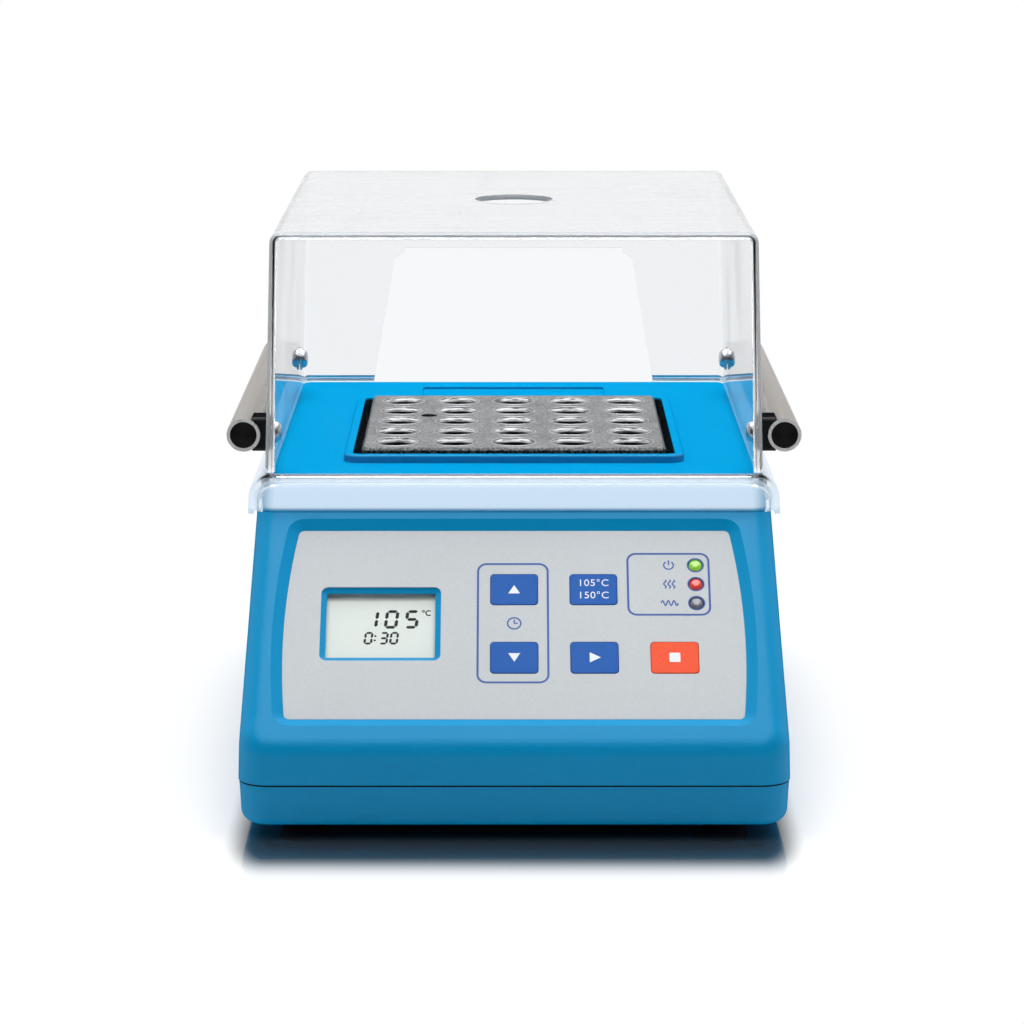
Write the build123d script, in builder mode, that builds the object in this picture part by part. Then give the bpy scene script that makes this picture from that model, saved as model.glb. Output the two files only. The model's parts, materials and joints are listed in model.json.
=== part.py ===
from build123d import *
from math import cos, radians, sin, tan
import os

# Chemical oxygen demand reactor: a bench heater for 25 sample vials under a lift-off clear shield.
# Millimetres. X to the right, Y to the back, Z up, origin on the bench under the middle of the case.

# ------------------------------------------------------------------ driving dimensions: case
case_width = 190.6  # at the parting line
case_depth = 300.0  # at the parting line
case_draft = 1.9  # degrees, the outer walls lean in towards the top
case_wall = 2.8
corner_radius = 10.5  # upright corners, at the parting line
edge_radius = 8.0  # round the sloped front
shoulder_radius = 7.0  # round the deck
foot_height = 4.6
parting_z = 20.0
parting_gap = 0.5
parting_step = 0.3  # the tray stands this far inside the upper case
deck_z = 110.5
front_lip = 13.7  # upright front above the parting line
panel_angle = 43.5  # degrees from the bench
seat_height = 9.2  # step between slope and deck that the shield's skirt covers
label_width = 75.0  # shallow blank recess behind the collar
label_depth = 32.0
label_sink = 0.8
label_gap = 7.0  # between collar and recess

# ------------------------------------------------------------------ driving dimensions: panel
overlay_top_width = 153.2
overlay_bottom_width = 158.8
overlay_bow = 2.8  # each side curves out by this much
overlay_height = 78.7
overlay_corner = 2.2
overlay_thickness = 0.5
overlay_clearance = 0.1
recess_depth = 2.15  # from the slope to the overlay's face
bevel_run = 3.75  # width of the sloped border round the overlay
panel_gap = 3.65  # slope left between the step and the recess
panel_floor = 2.8
pan_margin = 1.0  # the pan behind the recess is this much wider than the bevel
pan_sink = 0.5  # and ends this far under the slope
key_width = 16.6
key_height = 12.8
key_corner = 1.3
key_edge = 0.3  # rounding of the cap
key_gap = 0.2  # round a key in the overlay
key_pitch = 28.0
key_row_offset = 14.2
key_proud = 0.2
key_travel = 0.4
key_rim = 0.7  # hidden rim that the overlay holds down
key_rim_thickness = 0.8
key_rim_gap = 0.2  # between the rim and the overlay's underside
key_pocket_depth = 1.8
key_pocket_gap = 0.3
stem_radius = 2.2
stem_clearance = 0.3
stem_length = 6.0
plunger_radius = 2.6
plunger_play = 0.1  # left between stem and plunger at the end of the travel
switch_size = 12.0
switch_corner = 1.0
switch_height = 4.3
window_x = -46.9
window_width = 42.3
window_height = 30.7
window_corner = 2.6
window_bevel = 2.0
window_sink = 0.9  # from the panel floor to the pane
pane_thickness = 1.7
pane_lap = 0.5  # the pane reaches this far past the bevel's outer edge
pane_clearance = 0.1
display_width = 46.0
display_height = 35.0
display_gap = 0.3  # between the module and the pane
display_step = 1.0  # the glass stands out of its frame by this much
lamp_x = 64.3
lamp_row_y = 16.5
lamp_pitch = 8.0
lamp_radius = 2.35
lamp_clearance = 0.3
lamp_proud = 0.7
lamp_dome = 1.41  # rounding of the lens
lamp_flange = 0.4
lamp_flange_thickness = 1.0
lamp_base_drop = 6.0  # from the overlay's face to the lamp's underside
board_drop = 15.0  # from the overlay's face to the control board
board_width = 160.0
board_height = 66.0
board_thickness = 1.6
board_margin = 5.0  # from the board's edges to its screws
board_post_radius = 3.5
board_pilot_radius = 1.25
board_pilot_depth = 8.0
board_screw_radius = 1.15
board_screw_length = 7.5
board_head_height = 1.6
board_head_round = 0.5

# ------------------------------------------------------------------ driving dimensions: heater
well_pitch = 22.0
well_count = 5
well_radius = 8.25  # takes a vial of 16 mm
well_chamfer = 0.5
well_depth = 50.0
block_margin = 12.5  # from the outer wells' centres to the block's sides
block_height = 62.0
block_proud = 4.5  # block top above the deck
block_edge = 1.0
thermometer_radius = 3.2
thermometer_depth = 45.0
block_place = 0.08667  # block's middle behind the case's middle, as a share of the case's depth
collar_height = 2.85
collar_lip = 3.2
collar_gap = 3.3  # between block and collar
collar_depth = 12.0  # the collar's inner wall reaches this far below the deck
collar_corner = 6.0
collar_rim = 0.8
liner_gap = 0.1  # under the collar
liner_side_gap = 0.5  # between upstand and collar
liner_wall = 1.0
liner_rib_width = 1.2
liner_rib_depth = 1.1
liner_rib_pitch = 8.0
liner_rib_count = 13
liner_drop = 4.5  # upstand's top below the deck
heater_thickness = 3.0
clamp_thickness = 2.0
heater_inset = 6.5  # heater and clamp plate are smaller than the block by this on each side
clamp_screw_spread = 66.0
clamp_screw_depth = 7.0
bore_spare = 1.0  # bores are this much longer than what goes into them
insulation_wall = 13.0
insulation_base = 5.9
insulation_gap = 0.5
can_sheet = 1.0
can_floor_z = 38.0
can_height = 59.5
pillar_radius = 4.0
pillar_spread = 90.0
stud_radius = 1.9
stud_clearance = 0.2
stud_length = 6.0
stud_end = 0.3  # past its nut
plate_gap_x = 10.3  # from the case's sides to the chassis plate
plate_gap_y = 30.0
plate_thickness = 1.5
plate_z = 12.0
plate_screw_margin = 10.0  # from the plate's edges to its screws
standoff_radius = 4.5
nut_radius = 3.8
nut_height = 2.8
probe_radius = 1.75
probe_clearance = 0.2
probe_x = 11.0
probe_height = 6.0  # above the block's underside
probe_depth = 45.0
probe_head_radius = 3.0
probe_head_length = 6.0
cutout_radius = 8.0
cutout_length = 8.0
cutout_edge = 1.0
tab_thickness = 0.8
tab_width = 4.8
cutout_x = -30.0
cutout_rise = 34.0  # above the can's underside

# ------------------------------------------------------------------ driving dimensions: power board
power_width = 110.0
power_depth = 62.0
power_gap = 10.5  # from the can's front to the power board
power_margin = 5.0
spacer_radius = 3.0
spacer_height = 6.5
spacer_pin_radius = 1.5
spacer_pin_reach = 1.6
bobbin_share = 2 / 3  # of the transformer's width and height
bobbin_corner = 3.0
relay_corner = 1.0
transformer_size = (42.0, 36.0, 32.0)
transformer_offset = (-30.0, 13.0)  # from the board's middle
relay_size = (22.0, 16.0, 16.0)
relay_offset = (22.0, -15.0)
sink_width = 48.0
sink_depth = 14.0
sink_height = 30.0
sink_fin = 1.6
sink_fin_count = 9
sink_offset = (20.0, 19.0)

# ------------------------------------------------------------------ driving dimensions: shield
shield_wall = 2.0
shield_height = 89.2  # above the deck
shield_draft = 1.85
shield_edge = 4.0
shield_corner = 6.2
skirt_clearance = 1.2
skirt_drop = 11.7  # skirt bottom below the deck, at the sides
skirt_front_drop = 9.3  # the same at the front, where the slope begins
skirt_rim = 9.0
skirt_front_reach = 6.0  # the shorter front reaches this far before and behind the step
flange_thickness = 2.4
rest_gap = 0.3
wall_step_side = 2.6  # the upright walls stand in from the seat by this much
wall_step_front = 7.4
wall_step_rear = 3.6
vent_radius = 15.0
vent_setback = 11.4  # behind the block's middle
back_opening_low = 117.4  # width of the opening in the back wall, at the deck
back_opening_high = 99.0
back_opening_neck = 90.8
back_opening_height = 52.5
back_opening_neck_rise = 2.6
back_opening_top_rise = 4.3
handle_z = 126.0
handle_front_gap = 6.9  # from the shield's front wall to the tubes' front ends
handle_rear_gap = 23.7  # from the tubes' rear ends to the back wall
handle_radius = 6.05
handle_wall = 1.2
handle_reach = 8.2  # from the shield's side wall to the tube's centre
handle_fit = 0.1
plug_sink = 0.4
plug_past_screw = 6.0
bracket_height = 12.4
bracket_width = 12.0
bracket_edge = 1.5
bracket_inset_front = 7.0  # from the tube's end to the bracket's middle
bracket_inset_rear = 13.0
saddle_past_rim = 3.0  # the bracket's saddle reaches this far past the tube's inner side
screw_radius = 2.0
screw_clearance = 0.25
screw_length = 11.0
washer_radius = 4.6
washer_thickness = 0.8
dome_radius = 3.8
dome_height = 2.2
dome_round = 2.1
dome_socket = 1.4

# ------------------------------------------------------------------ driving dimensions: rear
service_width = 130.0  # flat pocket in the back wall for the mains parts
service_height = 46.0
service_z = 56.0
service_floor_inset = 6.5
service_corner = 3.0
inlet_x = -34.0
inlet_width = 27.4
inlet_height = 32.0
inlet_depth = 24.0
inlet_clearance = 0.15
inlet_flange_width = 50.0
inlet_flange_corner = 4.0
inlet_flange_thickness = 1.9
inlet_screw_spacing = 40.0
inlet_screw_radius = 1.4
inlet_screw_length = 8.0
inlet_head_height = 1.4
inlet_head_round = 0.5
inlet_socket_radius = 1.12
socket_width = 24.4
socket_height = 16.6
socket_depth = 16.0
socket_drop = 5.5  # below the inlet's middle
pin_width = 4.0
pin_thickness = 2.0
pin_length = 13.0
pin_clearance = 0.1
pin_tail = 8.0
pin_spacing = 14.0
pin_earth_rise = 4.0
drawer_width = 22.6
drawer_height = 7.0
drawer_length = 15.0
drawer_rise = 8.6  # above the inlet's middle
drawer_clearance = 0.3
drawer_lip = 1.2
drawer_corner = 1.0
drawer_base = 1.0  # under the fuse
fuse_radius = 2.5
fuse_length = 20.0
rocker_x = 38.0
rocker_width = 12.6
rocker_height = 18.4
rocker_rise = 3.0  # its valley stands this far out from its pins
rocker_root = 4.0
rocker_shoulder = 7.91  # its ends turn in this far from its middle
rocker_angle = 12.0  # degrees either side of level
rocker_clearance = 0.3
rocker_sweep = 1.3  # room at each end for the tips
rocker_pin_radius = 1.2
rocker_pin_length = 0.9
rocker_axis_depth = 2.6  # its pins lie this far inside the frame's face
frame_wall = 1.2
frame_depth = 13.0
frame_flange = 1.8
frame_lip = 1.6
frame_corner = 1.5
blade_length = 8.0

# ------------------------------------------------------------------ driving dimensions: tray, feet
tray_draft = 3.0
tray_edge = 5.0
tray_wall = 3.2
tray_floor = 2.8
tongue_wall = 1.8
tongue_height = 4.0
tongue_root = 8.0
tongue_clearance = 0.25
slot_width = 3.2
slot_length = 36.0
slot_pitch = 8.0
slot_count = 11
slot_place = 0.2  # the two rows lie this far before and behind the middle, as a share of the case's depth
foot_radius = 8.5
foot_toe = 7.0
foot_edge = 1.0
foot_inset_x = 21.8  # from the case's sides
foot_inset_y = 23.0
foot_stem_radius = 2.4
foot_barb_radius = 3.3
foot_barb_height = 1.4
boss_radius = 4.5
boss_root = 1.0  # the tray's own bosses are this much wider
boss_inset_x = 12.3  # from the case's sides
boss_inset_y = 12.0
boss_recess_radius = 3.7
boss_recess = 4.4
pilot_radius = 1.6
pilot_depth = 16.0
pilot_spare = 2.0  # left past a screw's tip
case_screw_radius = 1.5
screw_head_radius = 3.2
screw_head_height = 2.4
screw_head_round = 0.8
screw_socket_radius = 1.5
screw_tip_gap = 0.3
socket_share = 0.6  # depth of a socket, as a share of its head's height

# ------------------------------------------------------------------ derived places
lean = tan(radians(case_draft))
front_y = -case_depth / 2
rear_y = case_depth / 2
seat_z = deck_z - seat_height
crease_z = parting_z + front_lip
slope = tan(radians(panel_angle))
seat_lean = (seat_z - parting_z) * lean
seat_front_y = front_y + front_lip * lean + (seat_z - crease_z) / slope
seat_rear_y = rear_y - seat_lean
seat_half_width = case_width / 2 - seat_lean

slope_up = Vector(0, cos(radians(panel_angle)), sin(radians(panel_angle)))
slope_normal = Vector(0, -sin(radians(panel_angle)), cos(radians(panel_angle)))
slope_corner = Vector(0, seat_front_y, seat_z)
panel_middle = slope_corner - slope_up * (panel_gap + bevel_run + overlay_height / 2)
slope_plane = Plane(origin=panel_middle, x_dir=(1, 0, 0), z_dir=slope_normal)
face_plane = slope_plane.offset(-recess_depth)  # the overlay's face
floor_plane = face_plane.offset(-overlay_thickness)  # the moulded floor under the overlay
floor_back_plane = floor_plane.offset(-panel_floor)
pane_plane = floor_plane.offset(-window_sink)
rim_plane = floor_plane.offset(-key_rim_gap)  # top of the keys' hidden rims
stem_plane = rim_plane.offset(-key_rim_thickness)
plunger_plane = stem_plane.offset(-stem_length - key_travel - plunger_play)
lamp_base_plane = face_plane.offset(-lamp_base_drop)
board_plane = face_plane.offset(-board_drop)  # the control board's front
board_back_plane = board_plane.offset(-board_thickness)
board_screw_plane = Plane(origin=board_back_plane.origin, x_dir=(1, 0, 0), z_dir=-slope_normal)

key_places = {
    "key_timer_up": (0, key_row_offset),
    "key_timer_down": (0, -key_row_offset),
    "key_temperature": (key_pitch, key_row_offset),
    "key_start": (key_pitch, -key_row_offset),
    "key_stop": (2 * key_pitch, -key_row_offset),
}
lamp_places = {
    "lamp_power": (lamp_x, lamp_row_y + lamp_pitch),
    "lamp_hot": (lamp_x, lamp_row_y),
    "lamp_heating": (lamp_x, lamp_row_y - lamp_pitch),
}

block_size = (well_count - 1) * well_pitch + 2 * block_margin
collar_inner = block_size + 2 * collar_gap
collar_outer = collar_inner + 2 * collar_lip
collar_foot_z = deck_z - collar_depth
block_y = case_depth * block_place
block_top_z = deck_z + block_proud
block_bottom_z = block_top_z - block_height
block_rear_y = block_y + block_size / 2
heater_z = block_bottom_z - heater_thickness
clamp_z = heater_z - clamp_thickness
heater_size = block_size - 2 * heater_inset
insulation_inner = block_size + 2 * insulation_gap
insulation_outer = insulation_inner + 2 * insulation_wall
can_inner = insulation_outer + 2 * insulation_gap
can_outer = can_inner + 2 * can_sheet
can_inside_z = can_floor_z + can_sheet
can_top_z = can_floor_z + can_height
can_rear_y = block_y + can_outer / 2
cutout_z = can_floor_z + cutout_rise
plate_width = case_width - 2 * plate_gap_x
plate_depth = case_depth - 2 * plate_gap_y
plate_top_z = plate_z + plate_thickness
power_y = block_y - can_outer / 2 - power_gap - power_depth / 2
transformer_place = (transformer_offset[0], power_y + transformer_offset[1])
relay_place = (relay_offset[0], power_y + relay_offset[1])
sink_place = (sink_offset[0], power_y + sink_offset[1])
spacer_top_z = plate_top_z + spacer_height
power_top_z = spacer_top_z + board_thickness
probe_z = block_bottom_z + probe_height
stud_hole_radius = stud_radius + stud_clearance

foot_x = case_width / 2 - foot_inset_x
foot_y = case_depth / 2 - foot_inset_y
boss_x = case_width / 2 - boss_inset_x
boss_y = case_depth / 2 - boss_inset_y
slot_y = case_depth * slot_place
tray_top_z = parting_z - parting_gap
tray_bottom_z = foot_height
tray_inside_z = tray_bottom_z + tray_floor
tray_width = case_width - 2 * parting_step
tray_depth = case_depth - 2 * parting_step
tray_lean = tan(radians(tray_draft))

shield_top_z = deck_z + shield_height
flange_under_z = deck_z + rest_gap
flange_top_z = flange_under_z + flange_thickness
skirt_bottom_z = deck_z - skirt_drop
skirt_front_z = deck_z - skirt_front_drop
wall_half_width = seat_half_width - wall_step_side
wall_front_y = seat_front_y + wall_step_front
wall_rear_y = seat_rear_y - wall_step_rear
shield_lean = tan(radians(shield_draft))
shield_side_x = wall_half_width - (handle_z - deck_z) * shield_lean  # outside of the wall at the handles
shield_inside_x = shield_side_x - shield_wall
washer_gap = handle_fit / 2 + washer_radius * shield_lean  # a flat washer meets the leaning wall at its upper edge
handle_out = shield_side_x + handle_reach
handle_front_y = wall_front_y + handle_front_gap
handle_rear_y = wall_rear_y - handle_rear_gap
handle_length = handle_rear_y - handle_front_y
bracket_front_y = handle_front_y + bracket_inset_front
bracket_rear_y = handle_rear_y - bracket_inset_rear

service_floor_y = rear_y - service_floor_inset
service_back_y = service_floor_y - case_wall
inlet_plane = Plane(origin=(inlet_x, service_floor_y, service_z), x_dir=(-1, 0, 0), z_dir=(0, 1, 0))
inlet_face_plane = inlet_plane.offset(inlet_flange_thickness)
rocker_plane = Plane(origin=(rocker_x, service_floor_y, service_z), x_dir=(-1, 0, 0), z_dir=(0, 1, 0))
rocker_axis_y = service_floor_y + frame_flange - rocker_axis_depth
rocker_opening = (rocker_width + 2 * rocker_clearance, rocker_height + 2 * rocker_sweep)
frame_size = (rocker_opening[0] + 2 * frame_wall, rocker_opening[1] + 2 * frame_wall)

os.makedirs("parts", exist_ok=True)


def save(piece, name):
    """Label a finished piece and write it to its own file."""
    piece.label = name
    export_step(piece, f"parts/{name}.step")


# ------------------------------------------------------------------ shared forms
def drafted_box(width, front, rear, radius, z, height, draft, top_radius):
    """A rounded box that leans in towards its top, with a rounded top edge."""
    with BuildPart() as box:
        with BuildSketch(Plane.XY.offset(z)):
            with Locations((0, (front + rear) / 2)):
                RectangleRounded(width, rear - front, radius)
        extrude(amount=height, taper=draft)
        if top_radius:
            fillet(box.faces().sort_by(Axis.Z)[-1].edges(), top_radius)
    return box.part


def case_form(inset):
    """The space above the parting line that the upper case fills, with every face moved in by inset."""
    width = case_width - 2 * inset
    radius = corner_radius - inset
    cut_plane = Plane(origin=slope_corner - slope_normal * inset, x_dir=(1, 0, 0), z_dir=slope_normal)
    overlap = 3.0  # the sloped part runs this far up inside the raised part
    with BuildPart() as form:
        add(drafted_box(width, front_y + inset, rear_y / 2, radius, parting_z,
                        seat_z + overlap - inset - parting_z, case_draft, 0))
        split(bisect_by=cut_plane, keep=Keep.BOTTOM)
        sloped = form.faces().filter_by(lambda f: f.normal_at().dot(slope_normal) > 0.999)[0]
        ridge = sloped.edges().sort_by(Axis.Z)[-1]
        fillet([e for e in sloped.edges() if e.center() != ridge.center()], edge_radius - inset)
        add(drafted_box(width, seat_front_y - seat_lean + inset, rear_y - inset, radius, parting_z,
                        deck_z - inset - parting_z, case_draft, shoulder_radius - inset))
    return form.part


def panel_outline(plane, grow):
    """The overlay's outline on a plane, grown by a margin: flat top and bottom, bowed sides."""
    top, bottom, half = overlay_top_width / 2, overlay_bottom_width / 2, overlay_height / 2
    bulge = (top + bottom) / 2 + overlay_bow
    with BuildSketch(plane) as outline:
        with BuildLine():
            Line((-top, half), (top, half))
            ThreePointArc((top, half), (bulge, 0), (bottom, -half))
            Line((bottom, -half), (-bottom, -half))
            ThreePointArc((-bottom, -half), (-bulge, 0), (-top, half))
        make_face()
        fillet(outline.vertices(), overlay_corner)
        if grow:
            offset(amount=grow, kind=Kind.ARC)
    return outline.sketch


def square_tower(size, radius, bottom_z, top_z, rim_radius):
    """A square tower round the block's middle with rounded corners and a rounded rim."""
    with BuildPart() as tower:
        with BuildSketch(Plane.XY.offset(bottom_z)):
            with Locations((0, block_y)):
                RectangleRounded(size, size, radius)
        extrude(amount=top_z - bottom_z)
        if rim_radius:
            fillet(tower.faces().sort_by(Axis.Z)[-1].edges(), rim_radius)
    return tower.part


def square_places(spread_x, spread_y, middle_y):
    """Four places at the corners of a rectangle, as x, y pairs."""
    return [(sx * spread_x / 2, middle_y + sy * spread_y / 2) for sx in (-1, 1) for sy in (-1, 1)]


def discs(plane, places, radius, height):
    """One round post for each place, standing on a plane."""
    with BuildPart() as posts:
        with BuildSketch(plane):
            with Locations(*places):
                Circle(radius)
        extrude(amount=height)
    return posts.part


def screw_set(plane, places, head_radius, head_height, head_round, shank_radius, shank_length, socket_radius):
    """Screws at places on a plane: heads stand above it, shanks go below it, with hexagon sockets."""
    with BuildPart() as screws:
        add(discs(plane, places, head_radius, head_height))
        if head_round:
            tops = screws.faces().group_by(Axis(plane.origin, plane.z_dir))[-1]
            fillet(tops.edges(), head_round)
        add(discs(plane, places, shank_radius, -shank_length))
        with BuildSketch(plane.offset(head_height)):
            with Locations(*places):
                RegularPolygon(socket_radius, 6)
        extrude(amount=-head_height * socket_share, mode=Mode.SUBTRACT)
    return screws.part


case_screw_places = square_places(2 * boss_x, 2 * boss_y, 0)
foot_places = square_places(2 * foot_x, 2 * foot_y, 0)
board_screw_places = square_places(board_width - 2 * board_margin, board_height - 2 * board_margin, 0)
clamp_screw_places = square_places(clamp_screw_spread, clamp_screw_spread, block_y)
pillar_places = square_places(pillar_spread, pillar_spread, block_y)
plate_screw_places = square_places(plate_width - 2 * plate_screw_margin, plate_depth - 2 * plate_screw_margin, 0)
spacer_places = square_places(power_width - 2 * power_margin, power_depth - 2 * power_margin, power_y)


# ================================================================== case
def build_upper_case():
    outer = case_form(0)
    with BuildPart() as posts:
        # screw posts at the corners, trimmed to the case's outside
        add(discs(Plane.XY.offset(parting_z), case_screw_places, boss_radius, deck_z - parting_z))
        add(outer, mode=Mode.INTERSECT)
    with BuildPart() as recess:
        # the bevelled recess, cut from a little above the slope, and the overlay's own depth below it
        rise = recess_depth / 2
        loft([panel_outline(slope_plane.offset(rise), bevel_run * (1 + rise / recess_depth)).face(),
              panel_outline(face_plane, overlay_clearance).face()], ruled=True)
        add(panel_outline(floor_plane, 0))
        extrude(amount=overlay_thickness + rise, dir=slope_normal)
    with BuildPart() as case:
        add(outer)
        add(case_form(case_wall), mode=Mode.SUBTRACT)
        add(posts.part)
        # pan behind the recess
        add(panel_outline(floor_back_plane, bevel_run + pan_margin))
        extrude(amount=panel_floor + overlay_thickness + recess_depth - pan_sink, dir=slope_normal)
        # collar: a ring that stands on the deck and reaches down inside
        add(square_tower(collar_outer, collar_corner, collar_foot_z, deck_z + collar_height, collar_rim))
        add(square_tower(collar_inner, collar_corner - collar_lip, collar_foot_z, deck_z + 2 * collar_height, 0),
            mode=Mode.SUBTRACT)
        # shallow blank recess behind the block
        with BuildSketch(Plane.XY.offset(deck_z)):
            with Locations((0, block_y + collar_outer / 2 + label_gap + label_depth / 2)):
                RectangleRounded(label_width, label_depth, 2 * label_sink)
        extrude(amount=-label_sink, mode=Mode.SUBTRACT)
        # service pocket in the back wall, backed by a flat pad
        with BuildSketch(Plane.XZ.offset(-service_back_y)):
            with Locations((0, service_z)):
                RectangleRounded(service_width + 2 * case_wall, service_height + 2 * case_wall, service_corner)
        extrude(amount=-(rear_y - case_wall - service_back_y))
        with BuildSketch(Plane.XZ.offset(-service_floor_y)):
            with Locations((0, service_z)):
                RectangleRounded(service_width, service_height, service_corner)
        extrude(amount=-service_floor_inset, mode=Mode.SUBTRACT)
        # cut-outs for inlet and rocker switch
        with BuildSketch(inlet_plane):
            Rectangle(inlet_width + 2 * inlet_clearance, inlet_height + 2 * inlet_clearance)
            with GridLocations(inlet_screw_spacing, 0, 2, 1):
                Circle(inlet_screw_radius + inlet_clearance)
        extrude(amount=-2 * case_wall, mode=Mode.SUBTRACT)
        with BuildSketch(rocker_plane):
            Rectangle(frame_size[0] + 2 * inlet_clearance, frame_size[1] + 2 * inlet_clearance)
        extrude(amount=-2 * case_wall, mode=Mode.SUBTRACT)
        # panel recess
        add(recess.part, mode=Mode.SUBTRACT)
        # display opening with its bevelled border, and the pane's rebate behind it
        with BuildSketch(floor_plane):
            with Locations((window_x, 0)):
                RectangleRounded(window_width, window_height, window_corner)
        with BuildSketch(pane_plane):
            with Locations((window_x, 0)):
                RectangleRounded(window_width - 2 * window_bevel, window_height - 2 * window_bevel,
                                 window_corner - window_bevel)
        loft(ruled=True, mode=Mode.SUBTRACT)
        with BuildSketch(pane_plane):
            with Locations((window_x, 0)):
                Rectangle(window_width + 2 * pane_lap, window_height + 2 * pane_lap)
        extrude(amount=-panel_floor, mode=Mode.SUBTRACT)
        # pockets and stem holes of the keys, holes of the lamps
        rim = 2 * (key_rim + key_pocket_gap)
        with BuildSketch(floor_plane):
            with Locations(*key_places.values()):
                RectangleRounded(key_width + rim, key_height + rim, key_corner + rim / 2)
        extrude(amount=-key_pocket_depth, mode=Mode.SUBTRACT)
        with BuildSketch(floor_plane):
            with Locations(*key_places.values()):
                Circle(stem_radius + stem_clearance)
            with Locations(*lamp_places.values()):
                Circle(lamp_radius + lamp_clearance)
        extrude(amount=-panel_floor, mode=Mode.SUBTRACT)
        # board posts behind the floor, with pilot holes
        add(discs(floor_back_plane, board_screw_places, board_post_radius,
                  -(board_drop - overlay_thickness - panel_floor)))
        add(discs(board_plane, board_screw_places, board_pilot_radius, board_pilot_depth), mode=Mode.SUBTRACT)
        # pilot holes of the case screws
        add(discs(Plane.XY.offset(parting_z), case_screw_places, pilot_radius, pilot_depth), mode=Mode.SUBTRACT)
    return case.part


def tray_form(inset, top_z, floor_z):
    """The tray's outside, or with an inset its inside: a shallow tub that narrows downwards."""
    lean_in = (tray_top_z - top_z) * tray_lean + inset
    top = Plane(origin=(0, 0, top_z), x_dir=(1, 0, 0), z_dir=(0, 0, -1))
    with BuildPart() as tub:
        with BuildSketch(top):
            RectangleRounded(tray_width - 2 * lean_in, tray_depth - 2 * lean_in, corner_radius - parting_step - inset)
        extrude(amount=top_z - floor_z, taper=tray_draft)
        fillet(tub.faces().sort_by(Axis.Z)[0].edges(), tray_edge - inset)
    return tub.part


def build_lower_case():
    tongue_width = case_width - 2 * (case_wall + tongue_clearance + tongue_height * lean)
    tongue_depth = case_depth - 2 * (case_wall + tongue_clearance + tongue_height * lean)
    tongue_corner = corner_radius - case_wall - tongue_clearance
    bosses = Plane.XY.offset(tray_bottom_z + tray_floor / 2)
    with BuildPart() as tray:
        add(tray_form(0, tray_top_z, tray_bottom_z))
        add(tray_form(tray_wall, tray_top_z, tray_inside_z), mode=Mode.SUBTRACT)
        # tongue that locates the upper case
        with BuildSketch(Plane.XY.offset(tray_top_z - tongue_root)):
            RectangleRounded(tongue_width, tongue_depth, tongue_corner)
            RectangleRounded(tongue_width - 2 * tongue_wall, tongue_depth - 2 * tongue_wall,
                             tongue_corner - tongue_wall, mode=Mode.SUBTRACT)
        extrude(amount=tongue_root + tongue_height)
        # bosses for the case screws, for the chassis plate and round the feet's stems
        add(discs(Plane.XY.offset(tray_inside_z), case_screw_places, boss_radius, parting_z - tray_inside_z))
        add(discs(bosses, case_screw_places, boss_radius + boss_root, tray_top_z - bosses.origin.Z))
        add(discs(bosses, plate_screw_places, boss_radius, plate_z - bosses.origin.Z))
        # screw holes with recesses for the heads, seen from below
        below = Plane.XY.offset(tray_bottom_z)
        add(discs(below, case_screw_places, pilot_radius + screw_clearance, parting_z), mode=Mode.SUBTRACT)
        add(discs(below, case_screw_places, boss_recess_radius, boss_recess), mode=Mode.SUBTRACT)
        add(discs(Plane.XY.offset(plate_z), plate_screw_places, pilot_radius, -(plate_z - tray_inside_z)),
            mode=Mode.SUBTRACT)
        add(discs(below, foot_places, foot_stem_radius + stud_clearance, tray_floor), mode=Mode.SUBTRACT)
        # air slots
        with BuildSketch(below):
            with Locations((0, -slot_y), (0, slot_y)):
                with GridLocations(slot_pitch, 0, slot_count, 1):
                    SlotOverall(slot_length, slot_width, rotation=90)
        extrude(amount=tray_floor, mode=Mode.SUBTRACT)
    return tray.part


def build_foot(place):
    """Rubber foot, pulled through the tray's floor by its barbed stem."""
    x, y = place
    with BuildPart() as foot:
        with BuildSketch(Plane.XZ.offset(-y)):
            with BuildLine():
                Polyline((x, 0), (x + foot_toe, 0), (x + foot_radius, foot_height), (x + foot_stem_radius, foot_height),
                         (x + foot_stem_radius, tray_inside_z), (x + foot_barb_radius, tray_inside_z),
                         (x + foot_stem_radius / 2, tray_inside_z + foot_barb_height),
                         (x, tray_inside_z + foot_barb_height), close=True)
            make_face()
        revolve(axis=Axis((x, y, 0), (0, 0, 1)))
        fillet(foot.faces().sort_by(Axis.Z)[0].edges(), foot_edge)
    return foot.part


save(build_upper_case(), "upper_case")
save(build_lower_case(), "lower_case")
for side_x, side_name in ((-1, "left"), (1, "right")):
    save(build_foot((side_x * foot_x, -foot_y)), f"foot_front_{side_name}")
    save(build_foot((side_x * foot_x, foot_y)), f"foot_rear_{side_name}")

recess_top_z = tray_bottom_z + boss_recess
case_screw_plane = Plane(origin=(0, 0, recess_top_z), x_dir=(1, 0, 0), z_dir=(0, 0, -1))
case_screws = screw_set(case_screw_plane, [(x, -y) for x, y in case_screw_places], screw_head_radius,
                        screw_head_height, screw_head_round, case_screw_radius,
                        parting_z + pilot_depth - pilot_spare - recess_top_z, screw_socket_radius)
save(case_screws, "case_screws")


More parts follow.
